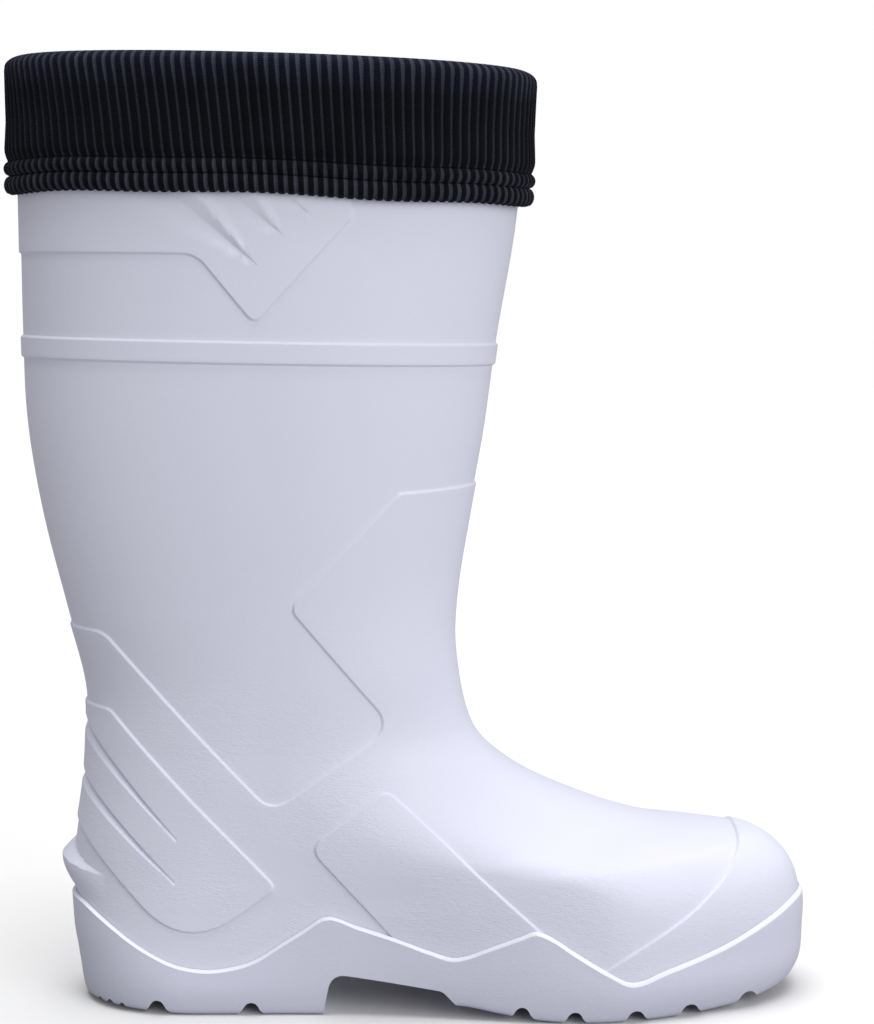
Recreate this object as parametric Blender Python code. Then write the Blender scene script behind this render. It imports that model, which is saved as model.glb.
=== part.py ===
"""A right-foot moulded work boot: cup sole, hollow upper, insole, and a ribbed cuff over the collar.

Metres. +Z is up, the toe points along +X, and the outer side of the foot faces -Y.
Everything follows one form, the outside of the moulded upper, described by closed rings. Each ring lies
in a plane across the boot, from a point on the back line to a point on the front line: the first is the
collar, the later ones tilt and stretch over the instep, and the last ones outline the foot near the floor.
A point of the boot is then given by how far along the form it is, by its column, and by its offset outwards.
"""

import math
from typing import NamedTuple

import bmesh
import bpy
import numpy as np

# Driving sizes of the form
LENGTH = 0.312          # heel ledge to toe
SHAFT_HEIGHT = 0.380    # floor to the collar's rim, midway between front and back
INSTEP_HEIGHT = 0.100   # floor to the top of the instep, where the shaft becomes the foot
CALF_DEPTH = 0.196      # front to back at the raised band
CALF_WIDTH = 0.120      # side to side at the collar
BALL_WIDTH = 0.104      # side to side at the ball of the foot
HEEL_WIDTH = 0.080      # side to side at the heel
TOE_SPRING = 0.006      # lift of the sole's tip off the floor

# Walls and clearances
WALL = 0.005            # moulded wall of the upper
SOLE_WALL = 0.0022      # side wall of the cup sole, outside the upper
GAP = 0.0003            # between two pieces that meet
INSOLE_THICKNESS = 0.004
INSOLE_CLEARANCE = 0.001

# Steps moulded into the upper's outer face
STEP_HEIGHT = 0.0010
STEP_SLOPE = 0.0014     # width of the sloping edge of a step
BAND_DROP = 0.1115      # from the collar's rim down to the middle of the raised band
BAND_HEIGHT = 0.0080
LEDGE_REACH = 0.0056    # how far the kick-off ledge stands out behind the heel
LEDGE_WIDTH = 0.056     # side to side

# Cuff
CUFF_THICKNESS = 0.0043
CUFF_LENGTH = 0.0500    # from the collar's rim down to the hem, outside
CUFF_TUCK = 0.0240      # from the collar's rim down to the edge inside
HEM_BAND = 0.0063       # height of each of the two padded rows above the hem

# Sole
SEAT_HEIGHT = 0.025     # floor to the foot bed at the heel
TREAD_DEPTH = 0.0045    # depth of the grooves between the lugs
GROOVE_WIDTH = 0.0048


class Ring(NamedTuple):
    """One closed section of the form. The four widths are half widths, at the places in WIDTHS_AT."""

    mid_x: float        # middle of the ring
    depth: float        # its length from back to front
    back_z: float
    front_z: float
    heel: float
    waist: float
    ball: float
    toe: float
    back_round: float   # share of the depth taken by the rounded back end
    front_round: float
    swing: float        # how far the ring's middle line follows the curve of the foot
    steps: int          # rows of faces from this ring to the next


WIDTHS_AT = (0.15, 0.42, 0.72, 0.88)    # shares of the depth
ROUND_POWER = 2.15                      # 2 is an ellipse, more is blunter
FOOT_RING = 8                           # from here down, rows follow the sole's edge


def shaft_ring(mid, depth, back_z, front_z, width, steps):
    """A ring of the shaft: an oval, with lengths as shares of the calf and shaft sizes."""
    half = width * CALF_WIDTH / 2
    return Ring(mid * LENGTH, depth * CALF_DEPTH, back_z * SHAFT_HEIGHT, front_z * SHAFT_HEIGHT,
                half, half, half, half, 0.5, 0.5, 0.0, steps)


def foot_ring(mid, depth, back_z, front_z, heel, waist, ball, toe, back_round, front_round, swing, steps):
    """A ring of the foot, with lengths as shares of the foot's length, instep, heel and ball."""
    return Ring(mid * LENGTH, depth * LENGTH, back_z * INSTEP_HEIGHT, front_z * INSTEP_HEIGHT,
                heel * HEEL_WIDTH / 2, waist * BALL_WIDTH / 2, ball * BALL_WIDTH / 2, toe * BALL_WIDTH / 2,
                back_round, front_round, swing, steps)


RINGS = (
    #          mid     depth  back_z front_z width steps
    shaft_ring(-0.178, 1.057, 1.008, 0.993, 1.00, 3),
    shaft_ring(-0.182, 1.037, 0.869, 0.855, 0.99, 3),
    shaft_ring(-0.195, 0.991, 0.727, 0.718, 0.97, 2),
    shaft_ring(-0.201, 0.959, 0.632, 0.622, 0.94, 2),
    shaft_ring(-0.202, 0.896, 0.532, 0.527, 0.89, 2),
    shaft_ring(-0.195, 0.822, 0.429, 0.442, 0.82, 2),
    shaft_ring(-0.183, 0.779, 0.345, 0.376, 0.77, 2),
    #         mid    depth  back_z front_z heel  waist ball  toe   back_round front_round swing steps
    foot_ring(-0.172, 0.510, 1.07, 1.130, 1.09, 0.84, 0.82, 0.78, 0.43, 0.50, 0.00, 2),
    foot_ring(-0.152, 0.560, 0.88, 0.982, 1.04, 0.82, 0.82, 0.80, 0.35, 0.50, 0.05, 2),
    foot_ring(-0.118, 0.649, 0.67, 0.851, 1.01, 0.79, 0.85, 0.83, 0.29, 0.46, 0.20, 2),
    foot_ring(-0.063, 0.765, 0.52, 0.729, 1.00, 0.76, 0.90, 0.88, 0.24, 0.40, 0.50, 2),
    foot_ring(-0.012, 0.863, 0.43, 0.683, 1.00, 0.74, 0.94, 0.92, 0.20, 0.35, 0.80, 2),
    foot_ring(0.0145, 0.912, 0.36, 0.650, 1.00, 0.73, 0.97, 0.93, 0.18, 0.30, 0.90, 2),
    foot_ring(0.0345, 0.948, 0.29, 0.552, 1.00, 0.72, 0.99, 0.92, 0.165, 0.25, 1.00, 1),
    foot_ring(0.0440, 0.959, 0.22, 0.420, 1.00, 0.71, 1.00, 0.90, 0.155, 0.22, 1.00, 1),
    foot_ring(0.0457, 0.955, 0.14, 0.260, 1.00, 0.70, 1.00, 0.88, 0.150, 0.21, 1.00, 1),
    foot_ring(0.0454, 0.950, 0.08, 0.140, 0.99, 0.69, 0.99, 0.87, 0.150, 0.21, 1.00, 1),
    foot_ring(0.0349, 0.920, 0.00, 0.000, 0.94, 0.66, 0.94, 0.82, 0.150, 0.21, 1.00, 0),
)


class Bend(NamedTuple):
    """The sole's middle line seen from above."""

    along: float        # share of the length
    sideways: float     # share of the ball width


# A right foot: the waist lies towards its outer side, the toe towards its inner side
SWING = (
    Bend(0.00, 0.000),
    Bend(0.15, 0.000),
    Bend(0.45, -0.045),
    Bend(0.72, -0.010),
    Bend(0.88, 0.045),
    Bend(1.00, 0.085),
)


class Edge(NamedTuple):
    """The wavy top edge of the sole's side. Each row also places a pair of columns of every mesh."""

    along: float        # share of the ring's depth, from heel to toe
    height: float       # share of the instep height


SOLE_EDGE = (
    Edge(0.0000, 0.440),
    Edge(0.0064, 0.439),
    Edge(0.0250, 0.425),
    Edge(0.0590, 0.356),
    Edge(0.0990, 0.270),
    Edge(0.1360, 0.213),
    Edge(0.1730, 0.192),
    Edge(0.2070, 0.199),
    Edge(0.2440, 0.230),
    Edge(0.2810, 0.295),
    Edge(0.3180, 0.357),
    Edge(0.3590, 0.415),
    Edge(0.3920, 0.379),
    Edge(0.4390, 0.332),
    Edge(0.4860, 0.282),
    Edge(0.5200, 0.260),
    Edge(0.5730, 0.318),
    Edge(0.6100, 0.361),
    Edge(0.6330, 0.381),
    Edge(0.6810, 0.293),
    Edge(0.7210, 0.222),
    Edge(0.7540, 0.176),
    Edge(0.8010, 0.218),
    Edge(0.8410, 0.253),
    Edge(0.8820, 0.294),
    Edge(0.9220, 0.346),
    Edge(0.9560, 0.391),
    Edge(0.9820, 0.423),
    Edge(0.9960, 0.431),
    Edge(1.0000, 0.432),
)


class Floor(NamedTuple):
    """Heights inside the sole, as shares of the seat height, at a share of the length."""

    x: float
    channel: float      # where the upper's wall stands
    bed: float          # the foot bed inside the wall


FLOORS = (
    Floor(-0.46, 0.44, 1.02),
    Floor(-0.30, 0.44, 0.98),
    Floor(-0.17, 0.46, 1.00),
    Floor(-0.105, 0.82, 1.00),
    Floor(-0.06, 0.84, 0.99),
    Floor(0.05, 0.63, 0.82),
    Floor(0.13, 0.37, 0.64),
    Floor(0.30, 0.34, 0.60),
    Floor(0.42, 0.38, 0.64),
    Floor(0.53, 0.48, 0.80),
)

SPRING_START = 0.33     # share of the length, ahead of the middle, where the tread leaves the floor
SPRING_END = 0.52


class Corner(NamedTuple):
    """A corner of an outline in the side view. Its height is a share of a size named beside the table."""

    x: float            # share of the length
    height: float
    radius: float = 0.0 # share of the length


# The hollow under the arch; heights are shares of the seat height
ARCH = (
    Corner(-0.113, -0.20),
    Corner(-0.107, 0.22),
    Corner(-0.100, 0.70, 0.008),
    Corner(-0.018, 0.585, 0.02),
    Corner(0.051, 0.43, 0.01),
    Corner(0.071, 0.17),
    Corner(0.082, -0.20),
)

# Raised areas whose heights are shares of the shaft height: everything below a zigzag line, and the top at
# the back
LOWER_PANEL = (
    Corner(-0.700, 0.4175),
    Corner(-0.392, 0.413, 0.038),
    Corner(-0.175, 0.224, 0.031),
    Corner(-0.0225, 0.310, 0.030),
    Corner(-0.149, 0.4415, 0.010),
    Corner(-0.011, 0.562, 0.010),
    Corner(0.700, 0.592),
    Corner(0.700, -0.100),
    Corner(-0.700, -0.100),
)
TOP_PANEL = (
    Corner(-0.700, 0.813),
    Corner(-0.262, 0.808, 0.038),
    Corner(-0.189, 0.735, 0.015),
    Corner(-0.066, 0.845, 0.006),
    Corner(-0.064, 1.200),
    Corner(-0.700, 1.200),
)

# A second step on the foot, whose heights are shares of the instep height
HEEL_COUNTER = (
    Corner(-0.600, 1.280),
    Corner(-0.384, 1.245, 0.019),
    Corner(-0.168, 0.517, 0.006),
    Corner(-0.287, 0.247, 0.101),
)
VAMP_PANEL = (
    Corner(-0.127, 0.700, 0.016),
    Corner(-0.028, 0.935, 0.018),
    Corner(0.250, 0.170),
    Corner(0.055, 0.071),
)
TOE_CAP = (
    Corner(0.437, 1.200),
    Corner(0.447, 0.680, 0.040),
    Corner(0.345, 0.360, 0.100),
    Corner(0.165, 0.115),
    Corner(0.700, 0.100),
    Corner(0.700, 1.200),
)


class Ledge(NamedTuple):
    """The side view of the kick-off ledge."""

    height: float       # share of the instep height
    reach: float        # share of LEDGE_REACH


LEDGE = (
    Ledge(0.440, 0.00),
    Ledge(0.470, 0.28),
    Ledge(0.530, 0.85),
    Ledge(0.567, 1.00),
    Ledge(0.612, 0.80),
    Ledge(0.670, 0.00),
)


class Fold(NamedTuple):
    """One row round the cuff's outer face."""

    up: float           # from the hem, in padded rows
    thickness: float    # share of the cuff's thickness


HEM = (
    Fold(0.0, 0.75),
    Fold(0.5, 1.15),
    Fold(1.0, 0.85),
    Fold(1.5, 1.12),
    Fold(2.0, 0.90),
    Fold(2.6, 1.00),
)

# Where the steps of the upper fade out under the cuff, from the rim down
FADE_TOP = 0.42 * CUFF_LENGTH
FADE_BOTTOM = 0.66 * CUFF_LENGTH

# Middles of the grooves between the lugs, as shares of the length
GROOVES_AT = (-0.401, -0.331, -0.207, 0.149, 0.221, 0.298, 0.368, 0.438)
CHEVRON = 0.026         # how far a groove's middle runs ahead of the sole's edge, as a share of the length


def smooth_curve(knots, values, at):
    """A smooth curve through values at rising knots; its slope at a knot follows the two neighbours."""
    knots = np.asarray(knots, float)
    values = np.asarray(values, float).reshape(len(knots), -1)
    steps = np.diff(knots)
    slopes = np.diff(values, axis=0) / steps[:, None]
    through = (values[2:] - values[:-2]) / (knots[2:] - knots[:-2])[:, None]
    tangents = np.vstack([slopes[:1], through, slopes[-1:]])
    at = np.clip(np.atleast_1d(np.asarray(at, float)), knots[0], knots[-1])
    cell = np.clip(np.searchsorted(knots, at, side="right") - 1, 0, len(knots) - 2)
    step = steps[cell][:, None]
    t = ((at - knots[cell]) / steps[cell])[:, None]
    return ((2 * t**3 - 3 * t**2 + 1) * values[cell] + (t**3 - 2 * t**2 + t) * step * tangents[cell]
            + (3 * t**2 - 2 * t**3) * values[cell + 1] + (t**3 - t**2) * step * tangents[cell + 1])


def ring_knots():
    """How far along the form each ring lies: the mean distance between the ends of neighbouring rings."""
    knots = [0.0]
    for a, b in zip(RINGS, RINGS[1:]):
        back = math.dist((a.mid_x - a.depth / 2, a.back_z), (b.mid_x - b.depth / 2, b.back_z))
        front = math.dist((a.mid_x + a.depth / 2, a.front_z), (b.mid_x + b.depth / 2, b.front_z))
        knots.append(knots[-1] + (back + front) / 2)
    return np.array(knots)


KNOTS = ring_knots()
RING_SIZES = np.array([ring[:-1] for ring in RINGS])

# One angle for each column: 0 at the back, pi at the front, and the outer side between them
HALF_ANGLES = np.arccos(1 - 2 * np.array([edge.along for edge in SOLE_EDGE]))
ANGLES = np.concatenate([HALF_ANGLES, 2 * math.pi - HALF_ANGLES[-2:0:-1]])
COLUMNS = len(ANGLES)


def both_sides(values):
    """Values given from heel to toe, repeated for the columns of both sides."""
    values = np.asarray(values, float)
    return np.concatenate([values, values[-2:0:-1]])


def rounded_end(share):
    """The rounded end of a ring: 0 at its tip, and 1 where it has reached the full width."""
    return (1 - (1 - np.clip(share, 0, 1)) ** ROUND_POWER) ** (1 / ROUND_POWER)


def form_point(along, angle):
    """Points of the form."""
    along, angle = np.broadcast_arrays(np.atleast_1d(along), np.atleast_1d(angle))
    ring = smooth_curve(KNOTS, RING_SIZES, along).T
    mid_x, depth, back_z, front_z, heel, waist, ball, toe, back_round, front_round, swing = ring
    share = (1 - np.cos(angle)) / 2
    weights = smooth_curve((0.0, *WIDTHS_AT, 1.0), np.eye(6), share)
    width = (weights * np.column_stack([heel, heel, waist, ball, toe, toe])).sum(axis=1)
    width *= rounded_end(share / back_round) * rounded_end((1 - share) / front_round)
    middle = smooth_curve(*zip(*SWING), share)[:, 0] * BALL_WIDTH * swing
    side = -np.sign(np.sin(angle))
    return np.column_stack([mid_x + depth * (share - 0.5), middle + side * width,
                            back_z + (front_z - back_z) * share])


def form_normal(along, angle):
    """Outward directions of the form, from small steps along it and round it."""
    step = 1e-4
    down = form_point(along + step, angle) - form_point(along - step, angle)
    around = form_point(along, angle + step) - form_point(along, angle - step)
    normal = np.cross(down, around)
    return normal / np.linalg.norm(normal, axis=1)[:, None]


def surface(along, offset=0.0):
    """One row of points, a point for each column, moved outwards by the offset.

    Above the rim, where along is negative, the row goes straight up from the rim.
    """
    along = np.broadcast_to(np.asarray(along, float), ANGLES.shape)
    on_form = np.maximum(along, 0)
    row = form_point(on_form, ANGLES) + form_normal(on_form, ANGLES) * offset
    upward = form_point(0.0, ANGLES) - form_point(1e-3, ANGLES)
    upward /= np.linalg.norm(upward, axis=1)[:, None]
    return row + upward * np.maximum(-along, 0)[:, None]


def along_where(height, offset=0.0):
    """How far along each column of the foot comes down to a height, given as a function of x."""
    low = np.full(COLUMNS, KNOTS[FOOT_RING])
    high = np.full(COLUMNS, KNOTS[-1])
    for _ in range(30):
        middle = (low + high) / 2
        row = surface(middle, offset)
        above = row[:, 2] > height(row[:, 0])
        low = np.where(above, middle, low)
        high = np.where(above, high, middle)
    return (low + high) / 2


def floor_height(column):
    """A height inside the sole, as a function of x: column 1 of FLOORS is the channel, and 2 is the bed."""
    table = np.array(FLOORS)
    return lambda x: smooth_curve(table[:, 0] * LENGTH, table[:, column] * SEAT_HEIGHT, x)[:, 0]


def channel(x):
    return floor_height(1)(x)


def bed(x):
    return floor_height(2)(x)


def ground(x):
    """Height of the tread, which rises towards the toe."""
    rise = np.clip((np.asarray(x) / LENGTH - SPRING_START) / (SPRING_END - SPRING_START), 0, None)
    return TOE_SPRING * rise ** 2


EDGE_ALONG = along_where(lambda x: both_sides([edge.height for edge in SOLE_EDGE]) * INSTEP_HEIGHT)
BED_DEPTH = WALL + GAP  # how far inside the form the sole's core stops


def rounded_outline(corners, height):
    """Points (x, z) of an outline with rounded corners."""
    corners = np.array(corners) * (LENGTH, height, LENGTH)
    points = []
    for before, corner, after in zip(np.roll(corners, 1, axis=0), corners, np.roll(corners, -1, axis=0)):
        here, radius = corner[:2], corner[2]
        if radius == 0:
            points.append(here)
            continue
        back = (before[:2] - here) / np.linalg.norm(before[:2] - here)
        ahead = (after[:2] - here) / np.linalg.norm(after[:2] - here)
        reach = radius / math.tan(math.acos(np.clip(back @ ahead, -1, 1)) / 2)
        for t in np.linspace(0, 1, 6):
            points.append(here + back * reach * (1 - t) ** 2 + ahead * reach * t ** 2)
    return np.array(points)


def depth_inside(points, outline):
    """How far points lie inside an outline in the side view; negative outside."""
    flat = points[:, [0, 2]]
    start, end = outline, np.roll(outline, -1, axis=0)
    run = end - start
    toward = flat[:, None] - start
    share = np.clip((toward * run).sum(axis=2) / (run ** 2).sum(axis=1), 0, 1)
    distance = np.linalg.norm(toward - share[..., None] * run, axis=2).min(axis=1)
    level = flat[:, 1:]
    spans = (start[:, 1] > level) != (end[:, 1] > level)
    slope = np.where(np.abs(run[:, 1]) > 1e-12, run[:, 0] / np.where(run[:, 1] == 0, 1, run[:, 1]), 0)
    left = flat[:, :1] < start[:, 0] + (level - start[:, 1]) * slope
    inside = (spans & left).sum(axis=1) % 2 == 1
    return np.where(inside, distance, -distance)


def raised_area(*outlines):
    """The depth of points inside the nearest of several outlines."""
    return lambda points: np.max([depth_inside(points, outline) for outline in outlines], axis=0)


FIRST_PANELS = (LOWER_PANEL, TOP_PANEL)
FIRST_STEP = raised_area(*(rounded_outline(panel, SHAFT_HEIGHT) for panel in FIRST_PANELS))
SECOND_PANELS = (HEEL_COUNTER, VAMP_PANEL, TOE_CAP)
SECOND_STEP = raised_area(*(rounded_outline(panel, INSTEP_HEIGHT) for panel in SECOND_PANELS))


def ledge_height(points):
    """How far the kick-off ledge stands out of the upper."""
    heights = np.array([row.height for row in LEDGE]) * INSTEP_HEIGHT
    reach = smooth_curve(heights, [row.reach for row in LEDGE], points[:, 2])[:, 0] * LEDGE_REACH
    aside = np.clip(np.abs(points[:, 1]) / (LEDGE_WIDTH / 2), 0, 1)
    at_back = points[:, 0] < 0
    return np.where(at_back, reach * (1 - aside ** 2) ** 1.5, 0)


def add_rows(bm, rows):
    """A skin through rows of points: a circle laid on the first row, extruded to each later one."""
    ring = bmesh.ops.create_circle(bm, segments=len(rows[0]), radius=1)["verts"]
    for vert, point in zip(ring, rows[0]):
        vert.co = point
    loops = [ring]
    for row in rows[1:]:
        edges = [bm.edges.get(pair) for pair in zip(ring, ring[1:] + ring[:1])]
        drawn = set(bmesh.ops.extrude_edge_only(bm, edges=edges)["geom"])
        ring = [next(e.other_vert(v) for e in v.link_edges if e.other_vert(v) in drawn) for v in ring]
        for vert, point in zip(ring, row):
            vert.co = point
        loops.append(ring)
    return loops


def close_across(bm, ring):
    """Close a ring with strips from each column to the one opposite."""
    count = len(ring)
    for i in range(count // 2):
        corners = [ring[i], ring[i + 1], ring[count - i - 1], ring[-i]]
        bm.faces.new(list(dict.fromkeys(corners)))


def split_faces(bm, faces):
    """Split faces into triangles by their shorter diagonal, so that the two sides of a gap bend alike."""
    bmesh.ops.triangulate(bm, faces=faces, quad_method="SHORT_EDGE", ngon_method="BEAUTY")


def add_object(name, bm, material):
    """Finish a mesh as one closed object."""
    bmesh.ops.remove_doubles(bm, verts=bm.verts, dist=1e-6)
    split_faces(bm, list(bm.faces))
    bmesh.ops.recalc_face_normals(bm, faces=bm.faces)
    mesh = bpy.data.meshes.new(name)
    bm.to_mesh(mesh)
    bm.free()
    obj = bpy.data.objects.new(name, mesh)
    bpy.context.scene.collection.objects.link(obj)
    mesh.materials.append(material)
    return obj


def add_material(name, color, roughness):
    material = bpy.data.materials.new(name)
    material.use_nodes = True
    shader = material.node_tree.nodes["Principled BSDF"]
    shader.inputs["Base Color"].default_value = (*color, 1)
    shader.inputs["Roughness"].default_value = roughness
    shader.inputs["Metallic"].default_value = 0.0
    material.diffuse_color = (*color, 1)
    return material


def cut_at(bm, area, level, mask):
    """Cut the raised faces where an area has this depth, so that the edge of a step runs there."""
    near = 0.0004
    bm.verts.index_update()
    here = np.array([vert.co for vert in bm.verts])
    depth = area(here) - level
    depth[np.abs(depth) < near] = 0
    raised = np.array([vert[mask] for vert in bm.verts])
    edges = list(bm.edges)
    ends = np.array([[vert.index for vert in edge.verts] for edge in edges])
    crossing = (depth[ends[:, 0]] * depth[ends[:, 1]] < 0) & (raised[ends].max(axis=1) > 0)
    edges = [edge for edge, cut in zip(edges, crossing) if cut]
    low, high = ends[crossing].T
    flip = depth[low] > 0
    low, high = np.where(flip, high, low), np.where(flip, low, high)
    start, end = np.zeros(len(low)), np.ones(len(low))
    for _ in range(14):
        share = (start + end) / 2
        inside = area(here[low] + (here[high] - here[low]) * share[:, None]) > level
        start, end = np.where(inside, start, share), np.where(inside, share, end)
    verts = list(bm.verts)
    on_line = [vert for vert, d in zip(verts, depth) if d == 0 and vert[mask] > 0]
    for edge, vert_index, share in zip(edges, low, np.clip((start + end) / 2, 0.04, 0.96)):
        on_line.append(bmesh.utils.edge_split(edge, verts[vert_index], share)[1])
    bmesh.ops.connect_verts(bm, verts=on_line)
    split_faces(bm, [face for face in bm.faces if len(face.verts) > 3])


def upper_rows():
    """Rows down the outside of the upper: how far along, how much of the steps it has, and of the band."""
    regular = []
    for i in range(FOOT_RING):
        regular.extend(np.linspace(KNOTS[i], KNOTS[i + 1], RINGS[i].steps, endpoint=False))
    top, bottom = BAND_DROP - BAND_HEIGHT / 2, BAND_DROP + BAND_HEIGHT / 2
    special = {FADE_TOP: (0, 0), FADE_BOTTOM: (1, 0), top - STEP_SLOPE: (1, 0), top: (1, 1), bottom: (1, 1),
               bottom + STEP_SLOPE: (1, 0)}
    rows = dict(special)
    for along in regular:
        if along == 0 or min(abs(along - other) for other in special) > 4 * STEP_SLOPE:
            rows[along] = (0 if along < FADE_TOP else 1, 1 if top < along < bottom else 0)
    rows = [(np.full(COLUMNS, along), *marks) for along, marks in sorted(rows.items())]
    plain = EDGE_ALONG - 2 * GAP
    start, end = KNOTS[FOOT_RING], plain - STEP_SLOPE
    rows.extend((start + (end - start) * share, 1, 0) for share in np.linspace(0, 1, 11))
    foot = along_where(lambda x: channel(x) + GAP)
    rows.extend((along, 0, 0) for along in (plain, (plain + foot) / 2, foot))
    return rows


def make_upper(material):
    """The moulded upper: shaft and foot in one hollow shell, open at the collar and above the sole."""
    outer = upper_rows()
    foot = outer[-1][0]
    bed_edge = along_where(bed, -WALL)
    shaft = [row[0] for row in outer if row[0].max() < KNOTS[FOOT_RING]][3::4]
    start = KNOTS[FOOT_RING]
    sides = [start + (bed_edge - start) * share for share in np.linspace(0, 1, 6)]
    inner = [np.zeros(COLUMNS), *shaft, *sides, foot]
    bm = bmesh.new()
    normal = bm.verts.layers.float_vector.new("normal")
    mask = bm.verts.layers.float.new("steps")
    band = bm.verts.layers.float.new("band")
    rows = [surface(along) for along, _, _ in outer]
    rows += [surface(along, -WALL) for along in reversed(inner)]
    loops = add_rows(bm, rows + rows[:1])
    for ring, (along, steps, banded) in zip(loops, outer):
        for vert, direction in zip(ring, form_normal(along, ANGLES)):
            vert[normal] = direction
            vert[mask] = steps
            vert[band] = banded
    bmesh.ops.remove_doubles(bm, verts=loops[0] + loops[-1], dist=1e-6)
    raised = [face for face in bm.faces if max(vert[mask] for vert in face.verts) > 0]
    split_faces(bm, raised)
    for area in (FIRST_STEP, SECOND_STEP):
        for level in (0, STEP_SLOPE):
            cut_at(bm, area, level, mask)
    here = np.array([vert.co for vert in bm.verts])
    height = sum(np.clip(area(here) / STEP_SLOPE, 0, 1) for area in (FIRST_STEP, SECOND_STEP)) * STEP_HEIGHT
    height += ledge_height(here)
    for vert, out in zip(bm.verts, height):
        vert.co += vert[normal] * (out * vert[mask] + vert[band] * STEP_HEIGHT)
    return add_object("upper", bm, material)


def prism(bm, outline):
    """A block through the whole width with a given outline in the side view."""
    verts = [bm.verts.new((x, -BALL_WIDTH, z)) for x, z in outline]
    face = bm.faces.new(verts)
    drawn = bmesh.ops.extrude_face_region(bm, geom=[face])["geom"]
    moved = [item for item in drawn if isinstance(item, bmesh.types.BMVert)]
    bmesh.ops.translate(bm, verts=moved, vec=(0, 2 * BALL_WIDTH, 0))


def groove(bm, x):
    """A groove across the tread, bent forward in the middle, as deep as the tread and open below."""
    top = float(ground(x)) + TREAD_DEPTH
    ahead = CHEVRON * LENGTH
    ends = ((-BALL_WIDTH, -ahead), (0, ahead), (BALL_WIDTH, -ahead))
    back = [bm.verts.new((x - GROOVE_WIDTH / 2 + shift, y, -TREAD_DEPTH)) for y, shift in ends]
    front = [bm.verts.new((x + GROOVE_WIDTH / 2 + shift, y, -TREAD_DEPTH)) for y, shift in reversed(ends)]
    face = bm.faces.new(back + front)
    drawn = bmesh.ops.extrude_face_region(bm, geom=[face])["geom"]
    moved = [item for item in drawn if isinstance(item, bmesh.types.BMVert)]
    bmesh.ops.translate(bm, verts=moved, vec=(0, 0, top + TREAD_DEPTH))


def cut_away(obj, cutter_bm, name):
    """Cut a shape out of an object with a hidden cutter."""
    cutter = add_object(name, cutter_bm, obj.data.materials[0])
    cut = obj.modifiers.new(name, "BOOLEAN")
    cut.operation = "DIFFERENCE"
    cut.solver = "EXACT"
    cut.object = cutter
    cutter.hide_render = True
    cutter.display_type = "WIRE"
    cutter.hide_set(True)


def make_outsole(material):
    """The cup sole: a wavy side wall, a channel for the upper's wall, a raised bed, and a lugged tread."""
    channel_along = along_where(channel)
    ground_along = along_where(ground, GAP + SOLE_WALL)
    rows = [surface(along_where(bed, -BED_DEPTH), -BED_DEPTH), surface(channel_along, -BED_DEPTH)]
    rows += [surface(channel_along + (EDGE_ALONG - channel_along) * share, GAP) for share in (0, 0.5, 1)]
    rows += [surface(EDGE_ALONG + (ground_along - EDGE_ALONG) * share, GAP + SOLE_WALL)
             for share in (0, 0.3, 0.6, 0.85, 1)]
    bm = bmesh.new()
    loops = add_rows(bm, rows)
    close_across(bm, loops[0])
    close_across(bm, loops[-1])
    outsole = add_object("outsole", bm, material)
    hollow = bmesh.new()
    prism(hollow, rounded_outline(ARCH, SEAT_HEIGHT))
    cut_away(outsole, hollow, "arch_cutter")
    grooves = bmesh.new()
    for share in GROOVES_AT:
        groove(grooves, share * LENGTH)
    cut_away(outsole, grooves, "tread_cutter")
    return outsole


def make_insole(material):
    """A flat insole on the foot bed."""
    depth = -(BED_DEPTH + INSOLE_CLEARANCE)
    low = along_where(lambda x: bed(x) + GAP, depth)
    high = along_where(lambda x: bed(x) + GAP + INSOLE_THICKNESS, depth)
    bm = bmesh.new()
    loops = add_rows(bm, [surface(low, depth), surface(high, depth)])
    close_across(bm, loops[0])
    close_across(bm, loops[-1])
    return add_object("insole", bm, material)


def make_cuff(material):
    """The sock's ribbed cuff: a band that comes up inside the collar and turns down over its outside."""
    def clear(along):
        fade = np.clip((along - FADE_TOP) / (FADE_BOTTOM - FADE_TOP), 0, 1)
        return GAP + STEP_HEIGHT * fade

    inside = -(WALL + GAP)
    section = [(CUFF_LENGTH, clear(CUFF_LENGTH))]
    for fold in HEM:
        along = CUFF_LENGTH - fold.up * HEM_BAND
        section.append((along, clear(along) + CUFF_THICKNESS * fold.thickness))
    section.append((FADE_TOP, GAP + CUFF_THICKNESS))
    middle = (GAP + inside) / 2
    half = (GAP - inside) / 2
    for turn in np.radians((15, 50, 90, 130, 165)):
        reach = half + CUFF_THICKNESS
        section.append((-(GAP + CUFF_THICKNESS) * math.sin(turn), middle + reach * math.cos(turn)))
    section += [(CUFF_TUCK, inside - CUFF_THICKNESS), (CUFF_TUCK, inside), (-GAP, inside), (-GAP, GAP)]
    section += [(FADE_TOP, GAP), (FADE_BOTTOM, clear(FADE_BOTTOM))]
    rows = [surface(along, offset) for along, offset in section]
    bm = bmesh.new()
    add_rows(bm, rows + rows[:1])
    return add_object("cuff", bm, material)


def build():
    for obj in list(bpy.data.objects):
        bpy.data.objects.remove(obj, do_unlink=True)
    white = add_material("moulded_white", (0.62, 0.63, 0.71), 0.55)
    sole_white = add_material("sole_white", (0.56, 0.57, 0.66), 0.6)
    knit = add_material("ribbed_knit", (0.010, 0.010, 0.016), 0.95)
    felt = add_material("insole_felt", (0.12, 0.12, 0.13), 0.95)
    make_outsole(sole_white)
    make_upper(white)
    make_insole(felt)
    make_cuff(knit)


build()
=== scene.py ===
# %% [markdown]
# # A moulded work boot
# This lesson dresses a white rubber work boot: a cup sole with a wavy edge, a hollow moulded upper with
# stepped panels, and a lined sock whose ribbed cuff is turned down over the collar. The plain solids are
# loaded first as a fixed frame. Each visible piece is then made again with finer detail, in the same place,
# and given a finish that is drawn by shader nodes.

# %% Load the frame
import math
from typing import NamedTuple

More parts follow.
